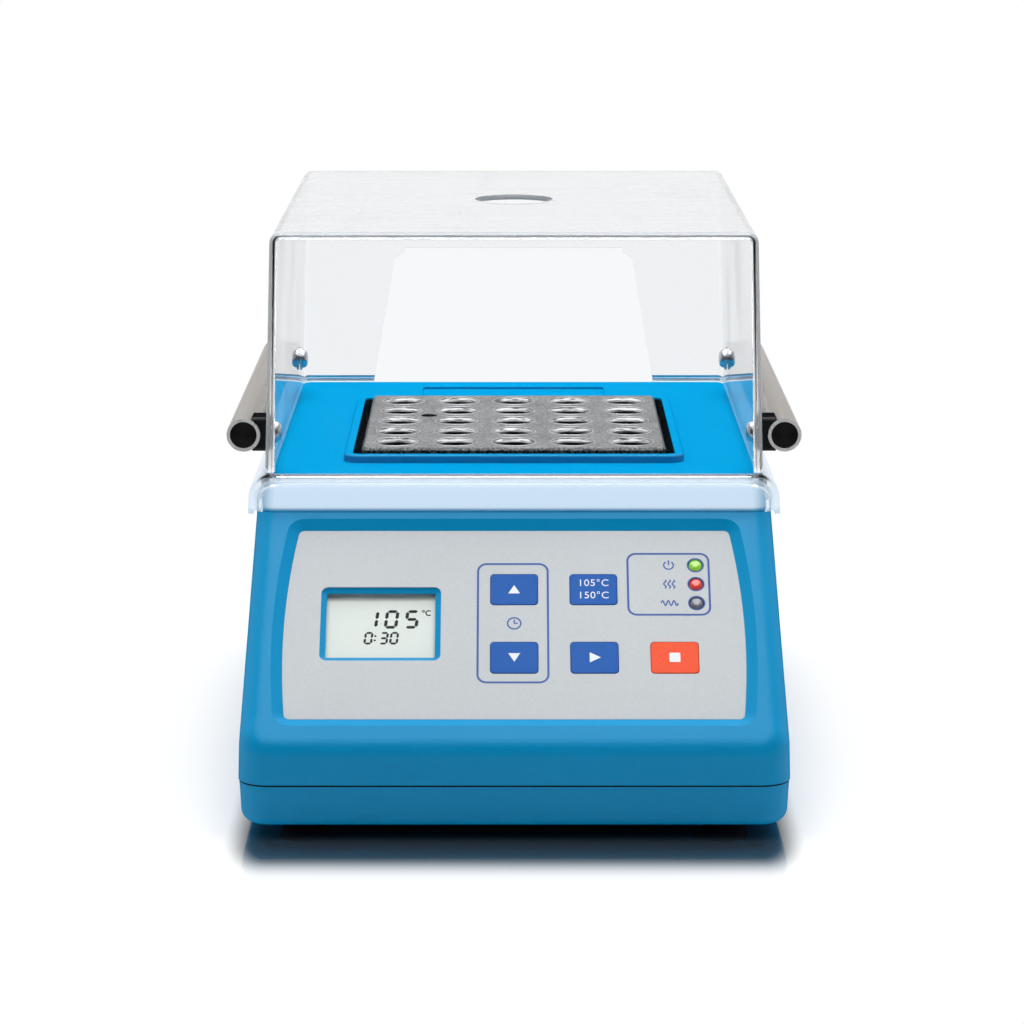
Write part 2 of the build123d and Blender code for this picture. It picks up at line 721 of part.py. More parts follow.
# ================================================================== heater
def build_heating_block():
    with BuildPart() as block:
        add(square_tower(block_size, 2 * block_edge, block_bottom_z, block_top_z, 0))
        chamfer(block.faces().sort_by(Axis.Z)[-1].edges(), block_edge)
        top = Plane.XY.offset(block_top_z)
        with Locations(top):
            with Locations((0, block_y)):
                with GridLocations(well_pitch, well_pitch, well_count, well_count):
                    CounterSinkHole(well_radius, well_radius + well_chamfer, well_depth, counter_sink_angle=90)
            with Locations((-1.5 * well_pitch, block_y + well_pitch / 2)):
                Hole(thermometer_radius, thermometer_depth)
        # probe hole from the back, tapped holes from below
        with BuildSketch(Plane.XZ.offset(-block_rear_y)):
            with Locations((probe_x, probe_z)):
                Circle(probe_radius + probe_clearance)
        extrude(amount=probe_depth, mode=Mode.SUBTRACT)
        under = Plane.XY.offset(block_bottom_z)
        add(discs(under, clamp_screw_places + pillar_places, stud_hole_radius, clamp_screw_depth + bore_spare),
            mode=Mode.SUBTRACT)
    return block.part


def build_block_liner():
    """Black plate over the insulation with a ribbed upstand in the gap round the block."""
    upstand = collar_inner - 2 * liner_side_gap
    inside = upstand - 2 * liner_wall
    rib_reach = inside - liner_rib_depth + liner_wall / 2
    plate_height = collar_foot_z - liner_gap - can_top_z
    with BuildPart() as liner:
        add(square_tower(can_outer, block_edge, can_top_z, can_top_z + plate_height, 0))
        add(square_tower(upstand, collar_corner - collar_lip, can_top_z, deck_z - liner_drop, 0))
        add(square_tower(inside, liner_wall, can_top_z, deck_z, 0), mode=Mode.SUBTRACT)
        with BuildSketch(Plane.XY.offset(can_top_z)):
            with Locations((0, block_y)):
                with GridLocations(liner_rib_pitch, rib_reach, liner_rib_count, 2):
                    Rectangle(liner_rib_width, liner_rib_depth + liner_wall / 2)
                with GridLocations(rib_reach, liner_rib_pitch, 2, liner_rib_count):
                    Rectangle(liner_rib_depth + liner_wall / 2, liner_rib_width)
        extrude(amount=deck_z - liner_drop - can_top_z)
    return liner.part


def build_heater_layer(bottom_z, thickness):
    """Heater plate or clamp plate: a square sheet with holes for the studs and screws."""
    with BuildPart() as layer:
        add(square_tower(heater_size, 2 * block_edge, bottom_z, bottom_z + thickness, 0))
        add(discs(Plane.XY.offset(bottom_z), clamp_screw_places + pillar_places, stud_hole_radius, thickness),
            mode=Mode.SUBTRACT)
    return layer.part


def build_insulation():
    with BuildPart() as wool:
        add(square_tower(insulation_outer, 2 * block_edge, can_inside_z, can_top_z - insulation_gap, 0))
        add(square_tower(insulation_inner, block_edge, can_inside_z + insulation_base, can_top_z, 0),
            mode=Mode.SUBTRACT)
        add(discs(Plane.XY.offset(can_inside_z), pillar_places, pillar_radius + insulation_gap, insulation_base),
            mode=Mode.SUBTRACT)
        with BuildSketch(Plane.XZ.offset(-block_rear_y)):
            with Locations((probe_x, probe_z)):
                Circle(probe_radius + insulation_gap)
        extrude(amount=-2 * insulation_wall, mode=Mode.SUBTRACT)
    return wool.part


def build_block_can():
    with BuildPart() as can:
        add(square_tower(can_outer, 2 * can_sheet, can_floor_z, can_top_z, 0))
        add(square_tower(can_inner, can_sheet, can_inside_z, can_top_z + can_sheet, 0), mode=Mode.SUBTRACT)
        add(discs(Plane.XY.offset(can_floor_z), pillar_places, stud_hole_radius, can_sheet), mode=Mode.SUBTRACT)
        with BuildSketch(Plane.XZ.offset(-can_rear_y)):
            with Locations((probe_x, probe_z)):
                Circle(probe_radius + probe_clearance)
        extrude(amount=2 * can_sheet, mode=Mode.SUBTRACT)
    return can.part


def build_standoffs():
    """Posts between chassis plate and can, with a stud at each end."""
    with BuildPart() as standoffs:
        add(discs(Plane.XY.offset(plate_top_z), pillar_places, standoff_radius, can_floor_z - plate_top_z))
        add(discs(Plane.XY.offset(plate_z - nut_height - stud_end), pillar_places, stud_radius,
                  can_inside_z + stud_length - plate_z + nut_height + stud_end))
    return standoffs.part


def build_pillars():
    """Posts between can floor and clamp plate: a bore below, a stud above that screws into the block."""
    with BuildPart() as pillars:
        add(discs(Plane.XY.offset(can_inside_z), pillar_places, pillar_radius, clamp_z - can_inside_z))
        add(discs(Plane.XY.offset(can_inside_z), pillar_places, stud_hole_radius, stud_length + bore_spare),
            mode=Mode.SUBTRACT)
        add(discs(Plane.XY.offset(clamp_z), pillar_places, stud_radius, block_bottom_z + clamp_screw_depth - clamp_z))
    return pillars.part


def build_nuts():
    with BuildPart() as nuts:
        with BuildSketch(Plane.XY.offset(plate_z)):
            with Locations(*pillar_places):
                RegularPolygon(nut_radius, 6)
                Circle(stud_hole_radius, mode=Mode.SUBTRACT)
        extrude(amount=-nut_height)
    return nuts.part


def build_chassis_plate():
    with BuildPart() as plate:
        with BuildSketch(Plane.XY.offset(plate_z)):
            RectangleRounded(plate_width, plate_depth, 2 * plate_thickness)
            with Locations(*pillar_places):
                Circle(stud_hole_radius, mode=Mode.SUBTRACT)
            with Locations(*plate_screw_places):
                Circle(pilot_radius, mode=Mode.SUBTRACT)
            with Locations(*spacer_places):
                Circle(spacer_pin_radius + stud_clearance, mode=Mode.SUBTRACT)
        extrude(amount=plate_thickness)
    return plate.part


def build_probe():
    """Temperature probe: a thin sheath into the back of the block and a head against the can."""
    with BuildPart() as probe:
        with BuildSketch(Plane.XZ.offset(-can_rear_y)):
            with Locations((probe_x, probe_z)):
                Circle(probe_radius)
        extrude(amount=can_rear_y - block_rear_y + probe_depth - bore_spare)
        with BuildSketch(Plane.XZ.offset(-can_rear_y)):
            with Locations((probe_x, probe_z)):
                Circle(probe_head_radius)
        extrude(amount=-probe_head_length)
    return probe.part


def build_thermal_cutout():
    with BuildPart() as cutout:
        with BuildSketch(Plane.XZ.offset(-can_rear_y)):
            with Locations((cutout_x, cutout_z)):
                Circle(cutout_radius)
        extrude(amount=-cutout_length)
        fillet(cutout.faces().sort_by(Axis.Y)[-1].edges(), cutout_edge)
        with BuildSketch(Plane.XZ.offset(-can_rear_y - cutout_length)):
            with Locations((cutout_x - cutout_radius / 2, cutout_z), (cutout_x + cutout_radius / 2, cutout_z)):
                Rectangle(tab_thickness, tab_width)
        extrude(amount=-blade_length)
    return cutout.part


save(build_heating_block(), "heating_block")
save(build_block_liner(), "block_liner")
save(build_heater_layer(heater_z, heater_thickness), "heater_plate")
save(build_heater_layer(clamp_z, clamp_thickness), "clamp_plate")
clamp_screw_plane = Plane(origin=(0, 0, clamp_z), x_dir=(1, 0, 0), z_dir=(0, 0, -1))
heater_screws = screw_set(clamp_screw_plane, [(x, -y) for x, y in clamp_screw_places], screw_head_radius,
                          screw_head_height, 0, stud_radius, block_bottom_z + clamp_screw_depth - clamp_z,
                          screw_socket_radius)
save(heater_screws, "heater_screws")
save(build_insulation(), "insulation")
save(build_block_can(), "block_can")
save(build_standoffs(), "can_standoffs")
save(build_nuts(), "standoff_nuts")
save(build_pillars(), "block_pillars")
save(build_chassis_plate(), "chassis_plate")
chassis_screws = screw_set(Plane.XY.offset(plate_top_z), plate_screw_places, screw_head_radius, screw_head_height,
                           screw_head_round, case_screw_radius, plate_top_z - tray_inside_z - screw_tip_gap,
                           screw_socket_radius)
save(chassis_screws, "chassis_screws")
save(build_probe(), "temperature_probe")
save(build_thermal_cutout(), "thermal_cutout")


# ================================================================== panel
def build_overlay():
    with BuildPart() as overlay:
        add(panel_outline(floor_plane, -overlay_clearance))
        extrude(amount=overlay_thickness, dir=slope_normal)
        with BuildSketch(floor_plane):
            with Locations((window_x, 0)):
                RectangleRounded(window_width, window_height, window_corner)
            with Locations(*key_places.values()):
                RectangleRounded(key_width + 2 * key_gap, key_height + 2 * key_gap, key_corner + key_gap)
            with Locations(*lamp_places.values()):
                Circle(lamp_radius + lamp_clearance)
        extrude(amount=overlay_thickness, mode=Mode.SUBTRACT)
    return overlay.part


def build_key(place):
    """A key: cap through the overlay, hidden rim under it, stem down to its switch."""
    with BuildPart() as key:
        with BuildSketch(rim_plane):
            with Locations(place):
                RectangleRounded(key_width, key_height, key_corner)
        extrude(amount=key_rim_gap + overlay_thickness + key_proud)
        fillet(key.faces().sort_by(Axis(face_plane.origin, slope_normal))[-1].edges(), key_edge)
        with BuildSketch(rim_plane):
            with Locations(place):
                RectangleRounded(key_width + 2 * key_rim, key_height + 2 * key_rim, key_corner + key_rim)
        extrude(amount=-key_rim_thickness)
        with BuildSketch(stem_plane):
            with Locations(place):
                Circle(stem_radius)
        extrude(amount=-stem_length)
    return key.part


def build_lamp(place):
    """A lamp: domed lens through the overlay, flange at its foot."""
    reach = lamp_base_drop + lamp_proud
    with BuildPart() as lamp:
        add(discs(lamp_base_plane, [place], lamp_radius, reach))
        fillet(lamp.faces().sort_by(Axis(face_plane.origin, slope_normal))[-1].edges(), lamp_dome)
        add(discs(lamp_base_plane, [place], lamp_radius + lamp_flange, lamp_flange_thickness))
    return lamp.part


def build_display_window():
    with BuildPart() as pane:
        with BuildSketch(pane_plane):
            with Locations((window_x, 0)):
                Rectangle(window_width + 2 * (pane_lap - pane_clearance),
                          window_height + 2 * (pane_lap - pane_clearance))
        extrude(amount=-pane_thickness)
    return pane.part


def build_display_module():
    depth = board_drop - overlay_thickness - window_sink - pane_thickness - display_gap
    with BuildPart() as module:
        with BuildSketch(board_plane):
            with Locations((window_x, 0)):
                Rectangle(display_width, display_height)
        extrude(amount=depth - display_step)
        with BuildSketch(board_plane):
            with Locations((window_x, 0)):
                Rectangle(window_width, window_height)
        extrude(amount=depth)
    return module.part


def build_key_switches():
    reach = (plunger_plane.origin - board_plane.origin).length
    with BuildPart() as switches:
        with BuildSketch(board_plane):
            with Locations(*key_places.values()):
                RectangleRounded(switch_size, switch_size, switch_corner)
        extrude(amount=switch_height)
        add(discs(board_plane, key_places.values(), plunger_radius, reach))
    return switches.part


def build_control_board():
    with BuildPart() as board:
        with BuildSketch(board_plane):
            Rectangle(board_width, board_height)
            with Locations(*board_screw_places):
                Circle(board_pilot_radius + stud_clearance, mode=Mode.SUBTRACT)
        extrude(amount=-board_thickness)
    return board.part


save(build_overlay(), "overlay")
for key_name, key_place in key_places.items():
    save(build_key(key_place), key_name)
for lamp_name, lamp_place in lamp_places.items():
    save(build_lamp(lamp_place), lamp_name)
lamp_spacers = discs(board_plane, lamp_places.values(), lamp_radius + lamp_flange, board_drop - lamp_base_drop)
save(lamp_spacers, "lamp_spacers")
save(build_display_window(), "display_window")
save(build_display_module(), "display_module")
save(build_key_switches(), "key_switches")
save(build_control_board(), "control_board")
board_screws = screw_set(board_screw_plane, board_screw_places, 2 * board_screw_radius, board_head_height,
                         board_head_round, board_screw_radius, board_screw_length, board_screw_radius)
save(board_screws, "board_screws")


# ================================================================== power board
def build_power_board():
    with BuildPart() as board:
        with BuildSketch(Plane.XY.offset(spacer_top_z)):
            with Locations((0, power_y)):
                Rectangle(power_width, power_depth)
            with Locations(*spacer_places):
                Circle(spacer_pin_radius + stud_clearance, mode=Mode.SUBTRACT)
        extrude(amount=board_thickness)
    return board.part


def build_board_spacers():
    reach = spacer_pin_reach
    with BuildPart() as spacers:
        add(discs(Plane.XY.offset(plate_top_z), spacer_places, spacer_radius, spacer_height))
        add(discs(Plane.XY.offset(plate_z - reach), spacer_places, spacer_pin_radius,
                  power_top_z + reach - plate_z + reach))
    return spacers.part


def build_transformer():
    """Laminated core with a bobbin wider than the core's waist."""
    width, depth, height = transformer_size
    with BuildPart() as transformer:
        with BuildSketch(Plane.XY.offset(power_top_z)):
            with Locations(transformer_place):
                Rectangle(width, depth / 2)
        extrude(amount=height)
        with BuildSketch(Plane.XY.offset(power_top_z + height * (1 - bobbin_share) / 2)):
            with Locations(transformer_place):
                RectangleRounded(width * bobbin_share, depth, bobbin_corner)
        extrude(amount=height * bobbin_share)
    return transformer.part


def build_relay():
    with BuildPart() as relay:
        with BuildSketch(Plane.XY.offset(power_top_z)):
            with Locations(relay_place):
                Rectangle(relay_size[0], relay_size[1])
        extrude(amount=relay_size[2])
        fillet(relay.edges().filter_by(Axis.Z), relay_corner)
    return relay.part


def build_heat_sink():
    """Upright plate with fins along its back."""
    pitch = (sink_width - sink_fin) / (sink_fin_count - 1)
    x, y = sink_place
    with BuildPart() as sink:
        with BuildSketch(Plane.XY.offset(power_top_z)):
            with Locations((x, y - sink_depth / 2 + sink_fin)):
                Rectangle(sink_width, 2 * sink_fin)
            with Locations((x, y + sink_fin / 2)):
                with GridLocations(pitch, 0, sink_fin_count, 1):
                    Rectangle(sink_fin, sink_depth - sink_fin)
        extrude(amount=sink_height)
    return sink.part


save(build_power_board(), "power_board")
save(build_board_spacers(), "board_spacers")
save(build_transformer(), "transformer")
save(build_relay(), "relay")
save(build_heat_sink(), "heat_sink")


# ================================================================== rear
pin_places = [(-pin_spacing / 2, -socket_drop), (pin_spacing / 2, -socket_drop), (0, -socket_drop + pin_earth_rise)]
drawer_room = (drawer_width + 2 * drawer_clearance, drawer_height + 2 * drawer_clearance)


def build_mains_inlet():
    """Inlet body with its flange, the socket for the cord, and the drawer's slot above it."""
    with BuildPart() as inlet:
        with BuildSketch(inlet_plane):
            RectangleRounded(inlet_flange_width, inlet_height + 2 * case_wall, inlet_flange_corner)
        extrude(amount=inlet_flange_thickness)
        with BuildSketch(inlet_plane):
            Rectangle(inlet_width, inlet_height)
        extrude(amount=-inlet_depth)
        with BuildSketch(inlet_face_plane):
            with Locations((0, -socket_drop)):
                Rectangle(socket_width, socket_height)
        extrude(amount=-socket_depth, mode=Mode.SUBTRACT)
        with BuildSketch(inlet_face_plane):
            with Locations((0, drawer_rise)):
                Rectangle(*drawer_room)
        extrude(amount=-drawer_length - drawer_clearance - inlet_flange_thickness, mode=Mode.SUBTRACT)
        # slots for the pins, holes for the screws
        with BuildSketch(inlet_plane):
            with Locations(*pin_places):
                Rectangle(pin_thickness + 2 * pin_clearance, pin_width + 2 * pin_clearance)
            with GridLocations(inlet_screw_spacing, 0, 2, 1):
                Circle(inlet_screw_radius + inlet_clearance)
        extrude(amount=inlet_flange_thickness + inlet_depth, both=True, mode=Mode.SUBTRACT)
    return inlet.part


def build_mains_terminals():
    """The inlet's three pins with their tails, and the switch's four blades."""
    root = inlet_face_plane.offset(-socket_depth)
    blades = rocker_plane.offset(-frame_depth)
    with BuildPart() as terminals:
        with BuildSketch(root):
            with Locations(*pin_places):
                Rectangle(pin_thickness, pin_width)
        extrude(amount=pin_length)
        with BuildSketch(root):
            with Locations(*pin_places):
                Rectangle(pin_thickness, pin_width)
        extrude(amount=-(inlet_depth + inlet_flange_thickness - socket_depth + pin_tail))
        with BuildSketch(blades):
            with GridLocations(rocker_width / 2, rocker_height / 2, 2, 2):
                Rectangle(pin_thickness / 2, pin_width)
        extrude(amount=-blade_length)
    return terminals.part


def build_fuse_drawer():
    """Tray that slides out of the inlet, with a well for one fuse lying across it."""
    with BuildPart() as drawer:
        with BuildSketch(inlet_plane):
            with Locations((0, drawer_rise)):
                Rectangle(drawer_width, drawer_height)
        extrude(amount=-drawer_length)
        with BuildSketch(inlet_plane):
            with Locations((0, drawer_rise)):
                Rectangle(drawer_width, drawer_height)
        extrude(amount=inlet_flange_thickness)
        with BuildSketch(inlet_face_plane.offset(rest_gap)):
            with Locations((0, drawer_rise)):
                RectangleRounded(drawer_room[0] + drawer_lip, drawer_height + drawer_lip, drawer_corner)
        extrude(amount=drawer_lip)
        with BuildSketch(inlet_face_plane):
            with Locations((0, drawer_rise)):
                Rectangle(drawer_width, drawer_height)
        extrude(amount=rest_gap)
        # fuse well, open upwards
        well = Plane.XY.offset(service_z + drawer_rise + drawer_height / 2)
        with BuildSketch(well):
            with Locations((inlet_x, service_floor_y - drawer_length / 2)):
                Rectangle(fuse_length + inlet_clearance, 2 * fuse_radius + 2 * inlet_clearance)
        extrude(amount=-(2 * fuse_radius + drawer_base), mode=Mode.SUBTRACT)
    return drawer.part


def build_fuse():
    z = service_z + drawer_rise + drawer_height / 2 - fuse_radius - drawer_base + inlet_clearance / 2
    with BuildPart() as fuse:
        with BuildSketch(Plane.YZ.offset(inlet_x - fuse_length / 2)):
            with Locations((service_floor_y - drawer_length / 2, z)):
                Circle(fuse_radius - inlet_clearance)
        extrude(amount=fuse_length)
    return fuse.part


def build_rocker_frame():
    """Switch frame: flange on the pocket's floor, open box behind it, holes for the rocker's pins."""
    with BuildPart() as frame:
        with BuildSketch(rocker_plane):
            RectangleRounded(frame_size[0] + 2 * frame_lip, frame_size[1] + 2 * frame_lip, frame_corner)
        extrude(amount=frame_flange)
        with BuildSketch(rocker_plane):
            Rectangle(*frame_size)
        extrude(amount=-frame_depth)
        with BuildSketch(rocker_plane.offset(frame_flange)):
            Rectangle(*rocker_opening)
        extrude(amount=-(frame_depth + frame_flange - 2 * frame_wall), mode=Mode.SUBTRACT)
        with BuildSketch(Plane.YZ.offset(rocker_x - frame_size[0] / 2)):
            with Locations((rocker_axis_y, service_z)):
                Circle(rocker_pin_radius + rocker_clearance)
        extrude(amount=frame_size[0], mode=Mode.SUBTRACT)
    return frame.part


def build_rocker():
    """Rocker key with a shallow valley, tipped to its off side, with a pin at each side."""
    half = rocker_height / 2
    tip = rocker_rise + half * tan(radians(rocker_angle))
    tilt = radians(rocker_angle)
    tilted = Plane(origin=(rocker_x - rocker_width / 2, rocker_axis_y, service_z), x_dir=(0, cos(tilt), sin(tilt)),
                   z_dir=(1, 0, 0))
    with BuildPart() as rocker:
        with BuildSketch(tilted):
            with BuildLine():
                Polyline((rocker_rise, 0), (tip, half), (0, rocker_shoulder), (-rocker_root, half / 2),
                         (-rocker_root, -half / 2), (0, -rocker_shoulder), (tip, -half), close=True)
            make_face()
        extrude(amount=rocker_width)
        with BuildSketch(Plane.YZ.offset(rocker_x - rocker_width / 2 - rocker_pin_length)):
            with Locations((rocker_axis_y, service_z)):
                Circle(rocker_pin_radius)
        extrude(amount=rocker_width + 2 * rocker_pin_length)
    return rocker.part


save(build_mains_inlet(), "mains_inlet")
save(build_mains_terminals(), "mains_terminals")
inlet_screws = screw_set(inlet_face_plane, [(-inlet_screw_spacing / 2, 0), (inlet_screw_spacing / 2, 0)],
                         2 * inlet_screw_radius, inlet_head_height, inlet_head_round, inlet_screw_radius,
                         inlet_screw_length, inlet_socket_radius)
save(inlet_screws, "inlet_screws")
save(build_fuse_drawer(), "fuse_drawer")
save(build_fuse(), "fuse")
save(build_rocker_frame(), "rocker_frame")
save(build_rocker(), "rocker")


# ================================================================== shield
def wall_form(inset, bottom_z, top_z):
    """The upright walls' outside, or with an inset their inside."""
    step = inset + (bottom_z - deck_z) * shield_lean
    return drafted_box(2 * (wall_half_width - step), wall_front_y + step, wall_rear_y - step, shield_corner - inset,
                       bottom_z, top_z - bottom_z, shield_draft, shield_edge - inset)


def skirt_form(inset, top_z, rim_radius):
    """The skirt's outside, or with an inset its inside: it follows the raised part of the case."""
    reach = skirt_clearance + shield_wall - inset + (seat_z - skirt_bottom_z) * lean
    return drafted_box(2 * (seat_half_width + reach), seat_front_y - reach, seat_rear_y + reach,
                       corner_radius - seat_lean + reach, skirt_bottom_z, top_z - skirt_bottom_z, case_draft,
                       rim_radius)


def side_plane(side, x):
    """An upright plane at one side of the shield, at the handles' height, facing the middle."""
    return Plane(origin=(side * x, 0, handle_z), x_dir=(0, 1, 0), z_dir=(-side, 0, 0))


def build_clear_shield():
    low, high, neck = back_opening_low / 2, back_opening_high / 2, back_opening_neck / 2
    high_z = deck_z + back_opening_height
    with BuildPart() as shield:
        add(skirt_form(0, flange_top_z, skirt_rim))
        add(wall_form(0, flange_under_z, shield_top_z))
        add(skirt_form(shield_wall, flange_under_z, skirt_rim - shield_wall), mode=Mode.SUBTRACT)
        add(wall_form(shield_wall, flange_under_z - flange_thickness, shield_top_z - shield_wall), mode=Mode.SUBTRACT)
        # the skirt is shorter at the front, where the slope begins
        with BuildSketch(Plane.XY.offset(skirt_bottom_z)):
            with Locations((0, seat_front_y)):
                Rectangle(2 * case_width, 2 * skirt_front_reach)
        extrude(amount=skirt_front_z - skirt_bottom_z, mode=Mode.SUBTRACT)
        # round hole in the top
        with BuildSketch(Plane.XY.offset(shield_top_z)):
            with Locations((0, block_y + vent_setback)):
                Circle(vent_radius)
        extrude(amount=-3 * shield_wall, mode=Mode.SUBTRACT)
        # open back
        with BuildSketch(Plane.XZ.offset(-(wall_rear_y - shield_corner - shield_wall))):
            with BuildLine():
                Polyline((-low, skirt_bottom_z), (-low, deck_z), (-high, high_z),
                         (-neck, high_z + back_opening_neck_rise), (-neck, high_z + back_opening_top_rise),
                         (neck, high_z + back_opening_top_rise), (neck, high_z + back_opening_neck_rise),
                         (high, high_z), (low, deck_z), (low, skirt_bottom_z), close=True)
            make_face()
        extrude(amount=-4 * shield_corner, mode=Mode.SUBTRACT)
        # screw holes of the handles
        for side in (-1, 1):
            with BuildSketch(side_plane(side, shield_side_x + shield_wall)):
                with Locations((bracket_front_y, 0), (bracket_rear_y, 0)):
                    Circle(screw_radius + screw_clearance)
            extrude(amount=3 * shield_wall, mode=Mode.SUBTRACT)
    return shield.part


def tube_room(side):
    """The space that a handle tube takes, with its fit."""
    with BuildPart() as room:
        with BuildSketch(Plane.XZ.offset(-handle_front_y)):
            with Locations((side * handle_out, handle_z)):
                Circle(handle_radius + handle_fit)
        extrude(amount=-handle_length)
    return room.part


def build_handle_tube(side):
    """Steel tube beside the shield, cross-drilled for its two screws from the inner side."""
    with BuildPart() as tube:
        with BuildSketch(Plane.XZ.offset(-handle_front_y)):
            with Locations((side * handle_out, handle_z)):
                Circle(handle_radius)
                Circle(handle_radius - handle_wall, mode=Mode.SUBTRACT)
        extrude(amount=-handle_length)
        with BuildSketch(side_plane(side, handle_out)):
            with Locations((bracket_front_y, 0), (bracket_rear_y, 0)):
                Circle(screw_radius + screw_clearance)
        extrude(amount=2 * handle_radius, mode=Mode.SUBTRACT)
    return tube.part


def build_handle_plugs():
    """Turned plugs in the tubes' ends, each cross-drilled for the screw that it holds."""
    bore = handle_radius - handle_wall - handle_fit / 2
    front_length = bracket_inset_front + plug_past_screw
    rear_length = bracket_inset_rear + plug_past_screw
    with BuildPart() as plugs:
        with BuildSketch(Plane.XZ.offset(-handle_front_y - plug_sink)):
            with Locations((-handle_out, handle_z), (handle_out, handle_z)):
                Circle(bore)
        extrude(amount=-front_length + plug_sink)
        with BuildSketch(Plane.XZ.offset(-handle_rear_y + plug_sink)):
            with Locations((-handle_out, handle_z), (handle_out, handle_z)):
                Circle(bore)
        extrude(amount=rear_length - plug_sink)
        for side in (-1, 1):
            with BuildSketch(side_plane(side, handle_out - bore)):
                with Locations((bracket_front_y, 0), (bracket_rear_y, 0)):
                    Circle(screw_radius + screw_clearance / 2)
            extrude(amount=-bore - screw_radius, mode=Mode.SUBTRACT)
    return plugs.part


def build_bracket(side, y):
    """Black block between the shield's wall and the tube, hollowed to a saddle for the tube."""
    saddle_x = handle_out - handle_radius + saddle_past_rim
    with BuildPart() as bracket:
        with BuildSketch(side_plane(side, saddle_x)):
            with Locations((y, 0)):
                RectangleRounded(bracket_width, bracket_height, bracket_edge)
        extrude(amount=saddle_x - shield_inside_x)
        add(tube_room(side), mode=Mode.SUBTRACT)
        add(wall_form(-handle_fit / 2, handle_z - bracket_height, shield_top_z), mode=Mode.SUBTRACT)
        with BuildSketch(side_plane(side, handle_out)):
            with Locations((y, 0)):
                Circle(screw_radius + screw_clearance)
        extrude(amount=handle_out - shield_inside_x, mode=Mode.SUBTRACT)
    return bracket.part


def build_handle_washers():
    with BuildPart() as washers:
        for side in (-1, 1):
            with BuildSketch(side_plane(side, shield_inside_x - washer_gap)):
                with Locations((bracket_front_y, 0), (bracket_rear_y, 0)):
                    Circle(washer_radius)
                    Circle(screw_radius + screw_clearance, mode=Mode.SUBTRACT)
            extrude(amount=washer_thickness)
    return washers.part


def build_handle_screws():
    head_x = shield_inside_x - washer_gap - washer_thickness
    places = [(bracket_front_y, 0), (bracket_rear_y, 0)]
    with BuildPart() as screws:
        for side in (-1, 1):
            add(screw_set(side_plane(side, head_x), places, dome_radius, dome_height, dome_round, screw_radius,
                          screw_length, dome_socket))
    return screws.part


save(build_clear_shield(), "clear_shield")
for side_x, side_name in ((-1, "left"), (1, "right")):
    save(build_handle_tube(side_x), f"handle_tube_{side_name}")
    save(build_bracket(side_x, bracket_front_y), f"bracket_front_{side_name}")
    save(build_bracket(side_x, bracket_rear_y), f"bracket_rear_{side_name}")
save(build_handle_plugs(), "handle_plugs")
save(build_handle_washers(), "handle_washers")
save(build_handle_screws(), "handle_screws")
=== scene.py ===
"""The looks of a chemical oxygen demand reactor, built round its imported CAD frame. Metres."""
import json
import math

import bpy
from mathutils import Matrix, Vector


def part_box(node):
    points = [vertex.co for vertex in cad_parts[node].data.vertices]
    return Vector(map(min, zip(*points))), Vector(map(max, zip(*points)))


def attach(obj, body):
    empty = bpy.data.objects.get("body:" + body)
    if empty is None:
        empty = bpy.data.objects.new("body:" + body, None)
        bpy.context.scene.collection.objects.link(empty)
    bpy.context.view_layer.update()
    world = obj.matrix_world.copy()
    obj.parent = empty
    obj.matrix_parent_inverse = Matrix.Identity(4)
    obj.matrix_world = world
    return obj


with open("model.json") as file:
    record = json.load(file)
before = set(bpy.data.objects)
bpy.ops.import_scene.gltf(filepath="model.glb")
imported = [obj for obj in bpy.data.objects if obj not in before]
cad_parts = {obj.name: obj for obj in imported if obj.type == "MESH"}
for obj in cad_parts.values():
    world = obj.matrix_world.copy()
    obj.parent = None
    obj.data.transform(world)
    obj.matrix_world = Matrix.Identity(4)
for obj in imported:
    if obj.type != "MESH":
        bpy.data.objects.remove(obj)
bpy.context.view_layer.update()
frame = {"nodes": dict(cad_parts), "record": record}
nodes = frame["nodes"]
MM = 0.001

# ------------------------------------------------------------------ sizes shared with the case
PANEL_ANGLE = math.radians(43.5)
OVERLAY_THICKNESS = 0.5 * MM
KEY_PROUD = 0.2 * MM
DISPLAY_DROP = 3.4 * MM  # from the overlay's face to the display's own
PRINT_THICKNESS = 0.04 * MM
# Places on the panel, in panel millimetres.
KEY_PITCH = 28.0
KEY_ROW = 14.2
LAMP_X = 64.3
LAMP_ROW = 16.5
LAMP_PITCH = 8.0
DISPLAY_X = -46.9
FRAME_LINE = 0.75
SYMBOL_LINE = 0.5

SEAM = 20.0 * MM  # height of the seam between the case's halves
COLLAR_GAP = 3.3 * MM  # between the block and the collar's inner wall
COLLAR_SHADE_DROP = 2.4 * MM  # from the block's top to the upper edge of the painted shade on the collar's inner wall
WELL_PITCH = 22.0 * MM
WELL_RADIUS = 8.25 * MM
WELLS_PER_SIDE = 5
RIM_WIRE = 0.2 * MM  # radius of the bright edge round a well's mouth
RIM_DROP = 0.12 * MM  # from the block's top to that edge's middle
PAINTED_BOUNCE_GLOW = 1.1  # strength of the glow painted in the wells, standing in for light that bounces between their walls

SHIELD_LEAN = math.tan(math.radians(1.85))
VENT_RADIUS = 15.0 * MM
VENT_SETBACK = 11.4 * MM  # behind the block's middle
WALL_FRONT = 5.0 * MM  # depth of the shield's front edge zone
SKIRT_TO_WALL = 10.6 * MM  # from the skirt's front to the upright front wall, at the deck
SKIRT_RISE = 12.0 * MM  # from the shield's lowest rim to the deck
SKIRT_LOW = 101.2 * MM  # height of the shield's lower rim at the front
SKIRT_PAINTED_HIGHLIGHT = 0.7  # share of the skirt's look that is a painted highlight, standing in for the lamps' reflection in its rounded front
SIDE_PAINTED_HIGHLIGHT = 0.55  # the same at the sides, as a part of the front's

